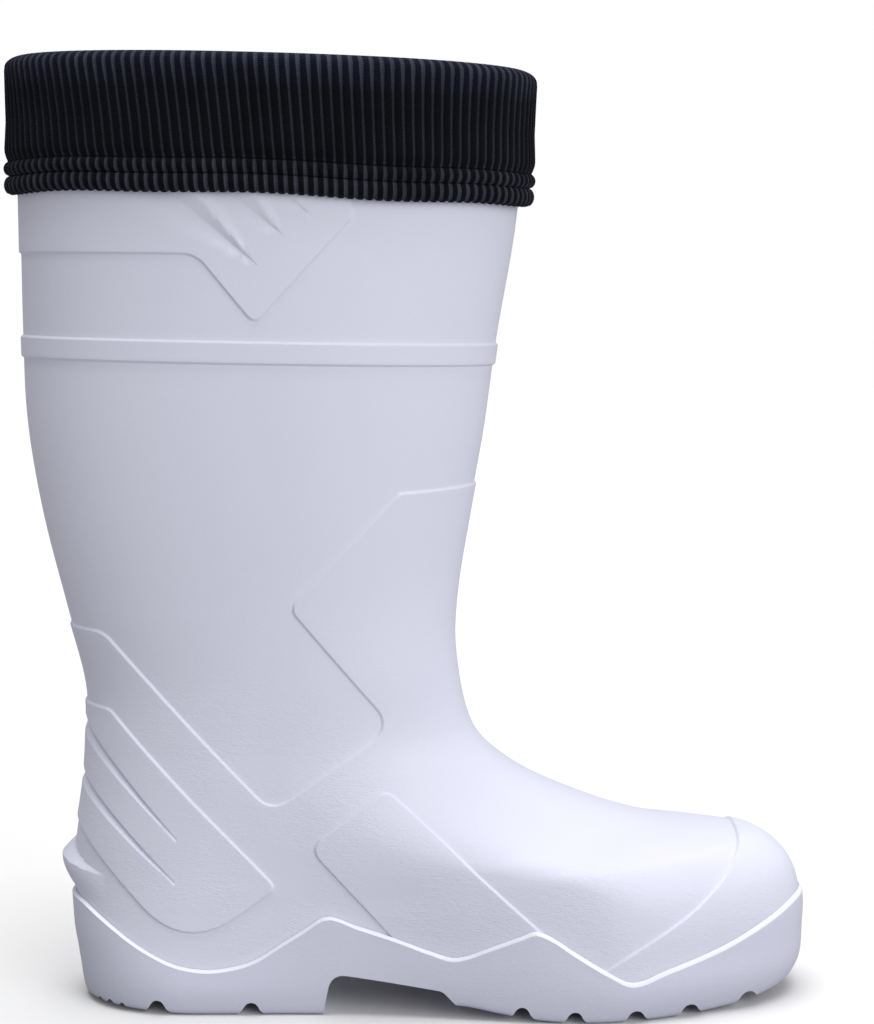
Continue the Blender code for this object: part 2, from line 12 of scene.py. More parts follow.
import bmesh
import bpy
import numpy as np
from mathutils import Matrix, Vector


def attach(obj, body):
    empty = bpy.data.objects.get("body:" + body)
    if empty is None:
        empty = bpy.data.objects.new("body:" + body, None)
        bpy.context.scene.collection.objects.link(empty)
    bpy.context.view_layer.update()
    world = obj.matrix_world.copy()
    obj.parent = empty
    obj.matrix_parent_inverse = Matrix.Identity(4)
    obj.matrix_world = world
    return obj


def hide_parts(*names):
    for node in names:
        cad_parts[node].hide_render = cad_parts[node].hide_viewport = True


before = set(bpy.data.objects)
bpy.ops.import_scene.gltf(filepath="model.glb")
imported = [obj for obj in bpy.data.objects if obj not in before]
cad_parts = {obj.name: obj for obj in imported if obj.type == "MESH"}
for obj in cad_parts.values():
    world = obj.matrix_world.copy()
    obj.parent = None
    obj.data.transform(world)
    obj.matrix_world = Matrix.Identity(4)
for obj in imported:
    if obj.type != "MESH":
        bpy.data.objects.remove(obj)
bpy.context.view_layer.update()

print("nodes:", sorted(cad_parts))

# %% [markdown]
# ## The form of the boot
# A maker of boots starts from a last, and so does this lesson. The outside of the upper is described by
# closed rings, from the oval collar to the outline of the foot near the floor. Each ring lies in a plane
# across the boot. The rings could be drawn as curves and skinned, but a small table is easier to change: a
# ring needs only its middle, its depth, two heights and four half widths. Lengths are shares of a few named
# sizes.

# %% Named sizes, in metres
LENGTH = 0.312
SHAFT_HEIGHT = 0.380
INSTEP_HEIGHT = 0.100
CALF_DEPTH = 0.196
CALF_WIDTH = 0.120
BALL_WIDTH = 0.104
HEEL_WIDTH = 0.080
SEAT_HEIGHT = 0.025
WALL = 0.005
GAP = 0.0003            # between two pieces that meet
CUFF_LENGTH = 0.050


class Ring(NamedTuple):
    """One closed section of the form: its place, four half widths, its rounded ends and its sideways swing."""

    mid_x: float
    depth: float
    back_z: float
    front_z: float
    heel: float
    waist: float
    ball: float
    toe: float
    back_round: float
    front_round: float
    swing: float


def shaft_ring(mid, depth, back_z, front_z, width):
    """An oval ring of the shaft."""
    half = width * CALF_WIDTH / 2
    return Ring(mid * LENGTH, depth * CALF_DEPTH, back_z * SHAFT_HEIGHT, front_z * SHAFT_HEIGHT,
                half, half, half, half, 0.5, 0.5, 0.0)


def foot_ring(mid, depth, back_z, front_z, heel, waist, ball, toe, back_round, front_round, swing):
    """A ring of the foot."""
    return Ring(mid * LENGTH, depth * LENGTH, back_z * INSTEP_HEIGHT, front_z * INSTEP_HEIGHT,
                heel * HEEL_WIDTH / 2, waist * BALL_WIDTH / 2, ball * BALL_WIDTH / 2, toe * BALL_WIDTH / 2,
                back_round, front_round, swing)


RINGS = (
    shaft_ring(-0.178, 1.057, 1.008, 0.993, 1.00),
    shaft_ring(-0.182, 1.037, 0.869, 0.855, 0.99),
    shaft_ring(-0.195, 0.991, 0.727, 0.718, 0.97),
    shaft_ring(-0.201, 0.959, 0.632, 0.622, 0.94),
    shaft_ring(-0.202, 0.896, 0.532, 0.527, 0.89),
    shaft_ring(-0.195, 0.822, 0.429, 0.442, 0.82),
    shaft_ring(-0.183, 0.779, 0.345, 0.376, 0.77),
    foot_ring(-0.172, 0.510, 1.07, 1.130, 1.09, 0.84, 0.82, 0.78, 0.43, 0.50, 0.00),
    foot_ring(-0.152, 0.560, 0.88, 0.982, 1.04, 0.82, 0.82, 0.80, 0.35, 0.50, 0.05),
    foot_ring(-0.118, 0.649, 0.67, 0.851, 1.01, 0.79, 0.85, 0.83, 0.29, 0.46, 0.20),
    foot_ring(-0.063, 0.765, 0.52, 0.729, 1.00, 0.76, 0.90, 0.88, 0.24, 0.40, 0.50),
    foot_ring(-0.012, 0.863, 0.43, 0.683, 1.00, 0.74, 0.94, 0.92, 0.20, 0.35, 0.80),
    foot_ring(0.0145, 0.912, 0.36, 0.650, 1.00, 0.73, 0.97, 0.93, 0.18, 0.30, 0.90),
    foot_ring(0.0345, 0.948, 0.29, 0.552, 1.00, 0.72, 0.99, 0.92, 0.165, 0.25, 1.00),
    foot_ring(0.0440, 0.959, 0.22, 0.420, 1.00, 0.71, 1.00, 0.90, 0.155, 0.22, 1.00),
    foot_ring(0.0457, 0.955, 0.14, 0.260, 1.00, 0.70, 1.00, 0.88, 0.150, 0.21, 1.00),
    foot_ring(0.0454, 0.950, 0.08, 0.140, 0.99, 0.69, 0.99, 0.87, 0.150, 0.21, 1.00),
    foot_ring(0.0349, 0.920, 0.00, 0.000, 0.94, 0.66, 0.94, 0.82, 0.150, 0.21, 1.00),
)
WIDTHS_AT = (0.15, 0.42, 0.72, 0.88)
ROUND_POWER = 2.15
FOOT_RING = 8

# The sole's middle line from heel to toe: share of its length, and share of the ball width sideways
SWING = ((0.00, 0.000), (0.15, 0.000), (0.45, -0.045), (0.72, -0.010), (0.88, 0.045), (1.00, 0.085))


# %% Walk over the form
def smooth_curve(knots, values, at):
    """A smooth curve through values at rising knots; its slope at a knot follows the two neighbours."""
    knots = np.asarray(knots, float)
    values = np.asarray(values, float).reshape(len(knots), -1)
    steps = np.diff(knots)
    slopes = np.diff(values, axis=0) / steps[:, None]
    through = (values[2:] - values[:-2]) / (knots[2:] - knots[:-2])[:, None]
    tangents = np.vstack([slopes[:1], through, slopes[-1:]])
    at = np.clip(np.atleast_1d(np.asarray(at, float)), knots[0], knots[-1])
    cell = np.clip(np.searchsorted(knots, at, side="right") - 1, 0, len(knots) - 2)
    step = steps[cell][:, None]
    t = ((at - knots[cell]) / steps[cell])[:, None]
    return ((2 * t**3 - 3 * t**2 + 1) * values[cell] + (t**3 - 2 * t**2 + t) * step * tangents[cell]
            + (3 * t**2 - 2 * t**3) * values[cell + 1] + (t**3 - t**2) * step * tangents[cell + 1])


def ring_knots():
    """How far along the form each ring lies: the mean distance between the ends of neighbouring rings."""
    knots = [0.0]
    for a, b in zip(RINGS, RINGS[1:]):
        back = math.dist((a.mid_x - a.depth / 2, a.back_z), (b.mid_x - b.depth / 2, b.back_z))
        front = math.dist((a.mid_x + a.depth / 2, a.front_z), (b.mid_x + b.depth / 2, b.front_z))
        knots.append(knots[-1] + (back + front) / 2)
    return np.array(knots)


KNOTS = ring_knots()
RING_SIZES = np.array(RINGS)


def rounded_end(share):
    """The rounded end of a ring: 0 at its tip, 1 where it has reached the full width."""
    return (1 - (1 - np.clip(share, 0, 1)) ** ROUND_POWER) ** (1 / ROUND_POWER)


def form_point(along, angle):
    """Points of the form: angle 0 is the back line, pi the front line, with the outer side between them."""
    along, angle = np.broadcast_arrays(np.atleast_1d(along), np.atleast_1d(angle))
    shape = along.shape
    along, angle = along.ravel(), angle.ravel()
    ring = smooth_curve(KNOTS, RING_SIZES, along).T
    mid_x, depth, back_z, front_z, heel, waist, ball, toe, back_round, front_round, swing = ring
    share = (1 - np.cos(angle)) / 2
    weights = smooth_curve((0.0, *WIDTHS_AT, 1.0), np.eye(6), share)
    width = (weights * np.column_stack([heel, heel, waist, ball, toe, toe])).sum(axis=1)
    width *= rounded_end(share / back_round) * rounded_end((1 - share) / front_round)
    middle = smooth_curve(*zip(*SWING), share)[:, 0] * BALL_WIDTH * swing
    side = -np.sign(np.sin(angle))
    points = np.column_stack([mid_x + depth * (share - 0.5), middle + side * width,
                              back_z + (front_z - back_z) * share])
    return points.reshape(*shape, 3)


def form_normal(along, angle):
    """Outward directions of the form."""
    step = 1e-4
    down = form_point(along + step, angle) - form_point(along - step, angle)
    around = form_point(along, angle + step) - form_point(along, angle - step)
    normal = np.cross(down, around)
    return normal / np.linalg.norm(normal, axis=-1, keepdims=True)


def surface(along, angles, offset=0.0):
    """A row of points moved outwards by the offset; where along is negative, the row rises above the rim."""
    along = np.broadcast_to(np.asarray(along, float), angles.shape)
    on_form = np.maximum(along, 0)
    offset = np.broadcast_to(np.asarray(offset, float), angles.shape)[:, None]
    row = form_point(on_form, angles) + form_normal(on_form, angles) * offset
    upward = form_point(0.0, angles) - form_point(1e-3, angles)
    upward /= np.linalg.norm(upward, axis=-1, keepdims=True)
    return row + upward * np.maximum(-along, 0)[:, None]


def along_where(height, angles, offset=0.0):
    """How far along each column of the foot comes down to a height, given as a function of x."""
    low = np.full(len(angles), KNOTS[FOOT_RING])
    high = np.full(len(angles), KNOTS[-1])
    for _ in range(26):
        middle = (low + high) / 2
        row = surface(middle, angles, offset)
        above = row[:, 2] > height(row[:, 0])
        low = np.where(above, middle, low)
        high = np.where(above, high, middle)
    return (low + high) / 2


print("distance down the form:", round(float(KNOTS[-1]), 3), "m")

# %% [markdown]
# ## From rows of points to a mesh
# Each piece of the boot is a stack of rings, so one helper makes them all. It lays a circle, moves its
# points onto the first row, and extrudes the edge once for each later row. That is what an artist does by
# hand with extrude and scale, and it keeps clean loops of faces round the boot.


# %% Loft helper
def add_rows(bm, rows):
    """A skin through rows of points: a circle on the first row, extruded to each later one."""
    ring = bmesh.ops.create_circle(bm, segments=len(rows[0]), radius=1)["verts"]
    for vert, point in zip(ring, rows[0]):
        vert.co = point
    loops = [ring]
    for row in rows[1:]:
        edges = [bm.edges.get(pair) for pair in zip(ring, ring[1:] + ring[:1])]
        drawn = set(bmesh.ops.extrude_edge_only(bm, edges=edges)["geom"])
        ring = [next(e.other_vert(v) for e in v.link_edges if e.other_vert(v) in drawn) for v in ring]
        for vert, point in zip(ring, row):
            vert.co = point
        loops.append(ring)
    return loops


def close_across(bm, ring):
    """Close a ring with strips from each column to the one opposite."""
    count = len(ring)
    for i in range(count // 2):
        corners = [ring[i], ring[i + 1], ring[count - i - 1], ring[-i]]
        bm.faces.new(list(dict.fromkeys(corners)))


def add_object(name, data):
    """A new object with this data, at the origin."""
    made = bpy.data.objects.new(name, data)
    bpy.context.scene.collection.objects.link(made)
    return made


def mesh_from(name, bm):
    """A mesh from a bmesh, which is then freed."""
    mesh = bpy.data.meshes.new(name)
    bm.to_mesh(mesh)
    bm.free()
    return mesh


def finish_piece(name, bm, material):
    """Turn a bmesh into a smooth-shaded piece that rides on the boot."""
    mesh = mesh_from(name, bm)
    mesh.shade_smooth()
    piece = add_object(name, mesh)
    mesh.materials.append(material)
    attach(piece, "root")
    mesh.calc_loop_triangles()
    print(name, len(mesh.loop_triangles), "triangles")
    return piece


# %% [markdown]
# ## Finishes
# The boot is moulded in a soft, light rubber. Its skin is matt, faintly lilac, and has a fine leathery
# grain: short wrinkles that lie mostly level. An image could carry that, but a pattern from nodes has no
# seams and stays sharp. The grain is used by the upper and the sole, so it is one node group with named
# inputs.


# %% Node helpers
def new_group(name, inputs, outputs):
    """A shader group with named inputs and outputs: the group, and its sockets at either end."""
    group = bpy.data.node_groups.new(name, "ShaderNodeTree")
    for side, names in (("INPUT", inputs), ("OUTPUT", outputs)):
        for socket in names:
            group.interface.new_socket(name=socket, in_out=side, socket_type="NodeSocketFloat")
    return group, group.nodes.new("NodeGroupInput").outputs, group.nodes.new("NodeGroupOutput").inputs


def node(tree, kind, links=None, **settings):
    """A node with its settings and inputs; an input given as a socket is linked, and a value is set."""
    made = tree.nodes.new(kind)
    for name, value in settings.items():
        setattr(made, name, value)
    for name, value in (links or {}).items():
        socket = made.inputs[name]
        if isinstance(value, bpy.types.NodeSocket):
            tree.links.new(value, socket)
        else:
            socket.default_value = value
    return made


# %% Short names for common nodes
def maths(tree, operation, *values):
    """The result of one step of arithmetic."""
    return node(tree, "ShaderNodeMath", dict(enumerate(values)), operation=operation).outputs[0]


def rescaled(tree, value, start, end, low=0.0, high=1.0):
    """A value carried from one range onto another, and kept inside it."""
    return node(tree, "ShaderNodeMapRange", {"Value": value, "From Min": start, "From Max": end,
                                             "To Min": low, "To Max": high}).outputs[0]


def noise(tree, place, scale, detail, roughness=0.5, distortion=0.0):
    """Random variation between 0 and 1."""
    return node(tree, "ShaderNodeTexNoise", {"Vector": place, "Scale": scale, "Detail": detail,
                                             "Roughness": roughness, "Distortion": distortion}).outputs["Fac"]


def blend(tree, share, first, second):
    """A colour between two others."""
    return node(tree, "ShaderNodeMix", {"Factor": share, "A": first, "B": second},
                data_type="RGBA").outputs["Result"]


def dimmed(tree, colour, by):
    """A colour times a value."""
    return node(tree, "ShaderNodeVectorMath", {0: colour, 1: by}, operation="MULTIPLY").outputs["Vector"]


def own_place(tree):
    """Where a point lies on its piece."""
    return node(tree, "ShaderNodeTexCoord").outputs["Object"]


def stretched(tree, place, scale, turn=(0, 0, 0)):
    """A place with its axes scaled and turned, for a pattern that runs one way."""
    return node(tree, "ShaderNodeMapping", {"Vector": place, "Scale": scale,
                                            "Rotation": turn}).outputs["Vector"]


# %% Parts of a material
def new_material(name, roughness):
    """A material with nodes: the material, its tree and its shader."""
    material = bpy.data.materials.new(name)
    material.use_nodes = True
    shader = material.node_tree.nodes["Principled BSDF"]
    shader.inputs["Roughness"].default_value = roughness
    return material, material.node_tree, shader


def add_bump(tree, shader, height, strength, distance):
    """Relief from a height, as a change of the shader's normal."""
    bump = node(tree, "ShaderNodeBump", {"Height": height, "Strength": strength, "Distance": distance})
    tree.links.new(bump.outputs["Normal"], shader.inputs["Normal"])


def brushed_fibres(name, scale, detail, roughness, dark, pale, bump, depth):
    """Loose fibres: one noise gives both the two tones and the relief."""
    material, tree, shader = new_material(name, 0.95)
    fibres = noise(tree, own_place(tree), scale, detail, roughness)
    tree.links.new(blend(tree, fibres, (*dark, 1), (*pale, 1)), shader.inputs["Base Color"])
    add_bump(tree, shader, fibres, bump, depth)
    return material


# %% The moulded skin
def make_grain_group():
    """Wrinkles, pores and cloudy variation from object coordinates."""
    group, given, out = new_group("moulded_skin", ("Grain Scale", "Pores"), ("Height", "Clouds", "Scuffs"))
    place = own_place(group)
    wrinkles = noise(group, stretched(group, place, (1.0, 1.0, 2.6)), given["Grain Scale"], 3.0, 0.55, 1.2)
    pores = noise(group, place, 1300.0, 2.0)
    patchy = rescaled(group, noise(group, place, 22.0, 2.0), 0.40, 0.62, 0.25, 1.0)
    height_off_floor = node(group, "ShaderNodeSeparateXYZ", {"Vector": place}).outputs["Z"]
    on_foot = rescaled(group, height_off_floor, 0.17, 0.10, 0.22, 1.0)
    grained = maths(group, "MULTIPLY", wrinkles, maths(group, "MULTIPLY", patchy, on_foot))
    height = maths(group, "MULTIPLY_ADD", pores, given["Pores"], grained)
    clouds = noise(group, place, 9.0, 5.0, 0.55)
    marks = noise(group, stretched(group, place, (1.0, 1.0, 3.5), (0.2, 0.5, 0.0)), 55.0, 6.0, 0.75)
    scuffs = rescaled(group, marks, 0.58, 0.75)
    for name, value in (("Height", height), ("Clouds", clouds), ("Scuffs", scuffs)):
        group.links.new(value, out[name])
    return group


SKIN = make_grain_group()
# Painted highlight: the paler colour given to the sole's edge
PAINTED_EDGE_HIGHLIGHT = (0.90, 0.91, 1.0, 1)


def moulded_rubber(name, light, shade, bump, roughness, grain_scale=330.0, pores=0.12):
    """Matt moulded rubber: cloudy tint, a painted highlight on the edge, grain as bump, and scuffs that shine
    a little.
    """
    material, tree, shader = new_material(name, roughness)
    skin = node(tree, "ShaderNodeGroup", {"Grain Scale": grain_scale, "Pores": pores}, node_tree=SKIN)
    tint = blend(tree, skin.outputs["Clouds"], (*light, 1), (*shade, 1))
    edge_highlight = node(tree, "ShaderNodeAttribute", attribute_name="edge_highlight").outputs["Fac"]
    tree.links.new(blend(tree, edge_highlight, tint, PAINTED_EDGE_HIGHLIGHT), shader.inputs["Base Color"])
    rough = rescaled(tree, skin.outputs["Scuffs"], 0.0, 1.0, roughness, roughness - 0.12)
    tree.links.new(rough, shader.inputs["Roughness"])
    add_bump(tree, shader, skin.outputs["Height"], bump, 0.0005)
    shader.inputs["Specular IOR Level"].default_value = 0.4
    return material


WHITE_RUBBER = moulded_rubber("white_rubber", (0.78, 0.79, 0.92), (0.72, 0.73, 0.86), 0.55, 0.52)
SOLE_RUBBER = moulded_rubber("sole_rubber", (0.72, 0.73, 0.87), (0.66, 0.67, 0.80), 0.25, 0.50)
print("rubbers:", WHITE_RUBBER.name, "and", SOLE_RUBBER.name)

# %% [markdown]
# ## The wavy edge of the sole
# The side of the cup sole rises to a wavy edge: high at the heel, the waist and the toe, low between them.
# It is read from the side, as a height at each share of the foot's length, and a smooth curve runs through
# the heights.

# %% Heights of the edge
SOLE_EDGE = (
    (0.0000, 0.440), (0.0064, 0.439), (0.0250, 0.425), (0.0590, 0.356), (0.0990, 0.270), (0.1360, 0.213),
    (0.1730, 0.192), (0.2070, 0.199), (0.2440, 0.230), (0.2810, 0.295), (0.3180, 0.357), (0.3590, 0.415),
    (0.3920, 0.379), (0.4390, 0.332), (0.4860, 0.282), (0.5200, 0.260), (0.5730, 0.318), (0.6100, 0.361),
    (0.6330, 0.381), (0.6810, 0.293), (0.7210, 0.222), (0.7540, 0.176), (0.8010, 0.218), (0.8410, 0.253),
    (0.8820, 0.294), (0.9220, 0.346), (0.9560, 0.391), (0.9820, 0.423), (0.9960, 0.431), (1.0000, 0.432),
)


def edge_height(angles):
    """The height of the sole's edge at each column."""
    share = (1 - np.cos(angles)) / 2
    return smooth_curve(*zip(*SOLE_EDGE), share)[:, 0] * INSTEP_HEIGHT


print("edge of the sole:", len(SOLE_EDGE), "heights")


def edge_along(angles):
    """How far down the form each column meets the sole's edge."""
    heights = edge_height(angles)
    return along_where(lambda x: heights, angles)


def even_angles(count, along):
    """Angles of columns that stand at even distances round the form."""
    fine = np.linspace(0, 2 * math.pi, 4001)
    points = form_point(np.broadcast_to(along, fine.shape), fine)
    run = np.concatenate([[0], np.cumsum(np.linalg.norm(np.diff(points, axis=0), axis=1))])
    return np.interp(np.arange(count) / count * run[-1], run, fine), run[-1]


# %% [markdown]
# ## Panels, steps and gills
# The panels on the side are not sewn on: they are steps in the mould, about a millimetre high. Each is
# drawn as an outline in the side view with rounded corners. A point's distance inside the outline then
# gives its height, so the step has a foot, a slope and a rounded brow. A plain displaced grid would show
# jagged steps, so the faces are first cut along the lines where the slope starts and ends.

# %% Outlines in the side view: share of the length, share of a height, corner radius
LOWER_PANEL = ((-0.700, 0.4175, 0), (-0.392, 0.413, 0.038), (-0.175, 0.224, 0.031), (-0.0225, 0.310, 0.030),
               (-0.152, 0.4415, 0.018), (-0.011, 0.562, 0.010), (0.700, 0.592, 0), (0.700, -0.100, 0),
               (-0.700, -0.100, 0))
TOP_PANEL = ((-0.700, 0.813, 0), (-0.262, 0.808, 0.038), (-0.189, 0.735, 0.015), (-0.066, 0.845, 0.006),
             (-0.064, 1.200, 0), (-0.700, 1.200, 0))
HEEL_COUNTER = ((-0.600, 1.280, 0), (-0.384, 1.245, 0.019), (-0.166, 0.530, 0.014), (-0.287, 0.247, 0.101))
VAMP_PANEL = ((-0.130, 0.700, 0.024), (-0.028, 0.935, 0.018), (0.250, 0.170, 0), (0.055, 0.071, 0))
TOE_CAP = ((0.437, 1.200, 0), (0.4405, 0.675, 0.045), (0.4125, 0.557, 0.160), (0.3663, 0.4402, 0.220),
           (0.285, 0.290, 0.200), (0.165, 0.055, 0), (0.700, 0.050, 0), (0.700, 1.200, 0))
BAND_ALONG = 0.1115     # from the rim down to the middle of the band round the shaft
BAND_WIDTH = 0.0096
BAND_HEIGHT = 0.0011
STEP_HEIGHT = 0.00095
STEP_SLOPE = 0.0011
ROUNDING = 0.18         # share of the slope that its foot takes, and its brow


def rounded_outline(corners, height):
    """Points (x, z) of an outline with rounded corners."""
    corners = np.array(corners) * (LENGTH, height, LENGTH)
    points = []
    for before, corner, after in zip(np.roll(corners, 1, axis=0), corners, np.roll(corners, -1, axis=0)):
        here, radius = corner[:2], corner[2]
        if radius == 0:
            points.append(here)
            continue
        back = (before[:2] - here) / np.linalg.norm(before[:2] - here)
        ahead = (after[:2] - here) / np.linalg.norm(after[:2] - here)
        reach = radius / math.tan(math.acos(np.clip(back @ ahead, -1, 1)) / 2)
        for t in np.linspace(0, 1, 10):
            points.append(here + back * reach * (1 - t) ** 2 + ahead * reach * t ** 2)
    return np.array(points)


def depth_inside(points, outline):
    """How far points lie inside an outline in the side view; negative outside."""
    flat = points[:, [0, 2]]
    start, end = outline, np.roll(outline, -1, axis=0)
    nearest = np.full(len(flat), np.inf)
    crossings = np.zeros(len(flat), int)
    for a, b in zip(start, end):
        run = b - a
        toward = flat - a
        share = np.clip(toward @ run / (run @ run), 0, 1)
        nearest = np.minimum(nearest, np.linalg.norm(toward - share[:, None] * run, axis=1))
        spans = (a[1] > flat[:, 1]) != (b[1] > flat[:, 1])
        if abs(run[1]) > 1e-12:
            crossings += spans & (flat[:, 0] < a[0] + (flat[:, 1] - a[1]) * run[0] / run[1])
    return np.where(crossings % 2 == 1, nearest, -nearest)


def band_outline():
    """The strip round the shaft, from the tilt of the form at that height."""
    middle = surface(BAND_ALONG, np.array([0.0, math.pi]))
    slope = (middle[1, 2] - middle[0, 2]) / (middle[1, 0] - middle[0, 0])
    ends = np.array([-0.3, 0.3])
    heights = middle[0, 2] + slope * (ends - middle[0, 0])
    half = BAND_WIDTH / 2
    return np.array([(ends[0], heights[0] - half), (ends[1], heights[1] - half),
                     (ends[1], heights[1] + half), (ends[0], heights[0] + half)])


PANELS = [rounded_outline(LOWER_PANEL, SHAFT_HEIGHT), rounded_outline(TOP_PANEL, SHAFT_HEIGHT),
          rounded_outline(HEEL_COUNTER, INSTEP_HEIGHT), rounded_outline(VAMP_PANEL, INSTEP_HEIGHT),
          rounded_outline(TOE_CAP, INSTEP_HEIGHT), band_outline()]
print(len(PANELS), "raised areas")


# %% Height of a step, with a rounded foot and brow
def eased(t, start, end):
    """A straight rise from 0 to 1 whose first and last shares are rounded."""
    t = np.clip(t, 0, 1)
    steep = 1 / (1 - (start + end) / 2)
    return np.where(t < start, steep * t**2 / (2 * start),
                    np.where(t > 1 - end, 1 - steep * (1 - t)**2 / (2 * end), steep * (t - start / 2)))


def step_profile(depth):
    """0 outside a panel, 1 well inside."""
    return eased(depth / STEP_SLOPE, ROUNDING, ROUNDING)


# %% [markdown]
# ### Gills, fins and the ledge
# The heel counter has two gills: the skin drops at a steep edge and slopes back out over a narrow band. The
# top panel has three fins: the skin dips, rises to a crest and falls away. Both follow a line from a wide
# end to a tip, so one small table holds them. Behind the heel, a ledge helps to kick the boot off.


# %% Gills and fins
class Groove(NamedTuple):
    """A gill or fin in the side view: its line in shares of the length, its widths and heights in metres."""

    start_x: float
    start_z: float
    tip_x: float
    tip_z: float
    low_width: float    # on the side that faces the heel and the floor
    high_width: float
    crest: float
    valley: float


GILLS = (
    Groove(-0.4231, 0.3721, -0.2975, 0.2308, 0.0042, 0.0012, 0.0, 0.0016),
    Groove(-0.4295, 0.3045, -0.2998, 0.1727, 0.0042, 0.0012, 0.0, 0.0016),
)
FINS = (
    Groove(-0.2760, 1.0800, -0.1835, 0.9710, 0.0088, 0.0110, 0.0006, 0.0009),
    Groove(-0.1960, 1.0700, -0.1526, 1.0090, 0.0080, 0.0090, 0.0005, 0.0006),
    Groove(-0.1400, 1.0640, -0.1189, 1.0337, 0.0040, 0.0050, 0.0003, 0.0003),
)


def groove_frame(points, groove):
    """What is left of the way to the tip, and the distance from the line, positive towards heel and floor."""
    start = np.array([groove.start_x, groove.start_z]) * LENGTH
    tip = np.array([groove.tip_x, groove.tip_z]) * LENGTH
    run = tip - start
    toward = points[:, [0, 2]] - start
    share = toward @ run / (run @ run)
    below = (toward @ np.array([run[1], -run[0]])) / np.linalg.norm(run)
    bend = 0.0006 * np.clip((0.12 - share) / 0.15, 0, 1.3) ** 2 * (groove.crest == 0)
    return np.clip(1 - share, 0, 1), below + bend


def gill_height(points, gill):
    """A steep drop above the line, and a band that slopes back out below it."""
    left, below = groove_frame(points, gill)
    drop = -gill.valley * np.minimum(left / 0.35, 1) ** 0.7
    above = drop * eased(1 + below / gill.high_width, 0.5, 0.5)
    band = drop * (1 - eased(below / (gill.low_width * np.maximum(left, 0.02)), 0.12, 0.12))
    return np.where(below < 0, above, band)


def fin_height(points, fin):
    """A valley, a flank that rises to the crest, and a slope that falls away beyond it."""
    left, below = groove_frame(points, fin)
    size = np.maximum(left, 0.02)
    fade = np.minimum(left / 0.25, 1)
    low, high = fin.low_width * size, fin.high_width * size
    beyond = fin.crest * (1 - eased(-below / high, 0.05, 0.6))
    flank = fin.crest - (fin.crest + fin.valley) * eased(below / low, 0.05, 0.25)
    valley = -fin.valley * (1 - eased((below - low) / (1.8 * low), 0.4, 0.5))
    return fade * np.where(below < 0, beyond, np.where(below < low, flank, valley))


# %% The ledge behind the heel
LEDGE_Z = 0.0590
LEDGE_FALL = 0.0045
LEDGE_REACH = 0.0054
LEDGE_HALF = 0.029


def ledge_side(points):
    """How far round the heel a point lies: 0 at the back line, 1 where the ledge ends."""
    return np.clip(np.abs(points[:, 1]) / LEDGE_HALF, 0, 1)


def above_ridge(points):
    """Height above the ledge's ridge, which sinks a little towards its two ends."""
    return points[:, 2] - (LEDGE_Z - LEDGE_FALL * ledge_side(points) ** 1.5)


def slope_height(points):
    """How high the slope above the ridge reaches; it narrows towards the ledge's ends."""
    return 0.0066 * (1 - ledge_side(points)) + 0.0008


def ledge_height(points):
    """A wedge: a slope that faces up, a ridge, and a rounded nose under it."""
    aside = ledge_side(points)
    over = above_ridge(points)
    above = 1 - eased(over / slope_height(points), 0.08, 0.15)
    under = np.sin(math.pi / 2 * np.clip(1 + over / 0.0125, 0, 1)) ** 1.2
    reach = LEDGE_REACH * (1 - aside ** 2.2) ** 1.2
    return np.where(points[:, 0] < -0.06, reach * np.where(over > 0, above, under), 0)


# Under the cuff the relief fades out between these distances from the rim
FADE_TOP, FADE_BOTTOM = 0.42 * CUFF_LENGTH, 0.66 * CUFF_LENGTH


def relief(points, along):
    """The whole relief of the upper at points of the form."""
    first = np.maximum(depth_inside(points, PANELS[0]), depth_inside(points, PANELS[1]))
    second = np.max([depth_inside(points, panel) for panel in PANELS[2:5]], axis=0)
    height = (step_profile(first) + step_profile(second)) * STEP_HEIGHT
    height += step_profile(depth_inside(points, PANELS[5])) * BAND_HEIGHT
    height += sum(gill_height(points, gill) for gill in GILLS)
    height += sum(fin_height(points, fin) for fin in FINS)
    height += ledge_height(points)
    return height * np.clip((along - FADE_TOP) / (FADE_BOTTOM - FADE_TOP), 0, 1)


# %% [markdown]
# ## The upper
# The upper is a loft of rows down the boot. The faces are split into triangles and cut along the foot and
# the brow of every step. Only then is each point pushed out along the form's normal by the relief. The
# shading normals are worked out from the same relief, so that the flat parts between the steps stay calm.

# %% Cut lines into the faces
NEAR = 0.00015          # points this near a line are moved onto it
GILL_REACH = 0.006      # how far from a groove its cuts go
FIN_REACH = 0.012


def close_to(points, groove, reach):
    """Which points lie within reach of a groove's line in the side view."""
    ends = np.array([(groove.start_x, groove.start_z), (groove.tip_x, groove.tip_z)]) * LENGTH
    return np.abs(depth_inside(points, ends)) < reach


def split_skin(bm, outer):
    """Split the faces of the outer skin that have more than three corners."""
    bmesh.ops.triangulate(bm, faces=[face for face in bm.faces if len(face.verts) > 3 and
                                     all(vert[outer] > 0 for vert in face.verts)])


def refine(bm, groove, reach, outer):
    """Halve the edges of the outer skin near a groove."""
    bm.verts.index_update()
    chosen = close_to(np.array([vert.co for vert in bm.verts]), groove, reach)
    chosen &= np.array([vert[outer] for vert in bm.verts]) > 0
    edges = [edge for edge in bm.edges if all(chosen[vert.index] for vert in edge.verts)]
    bmesh.ops.subdivide_edges(bm, edges=edges, cuts=1)
    split_skin(bm, outer)


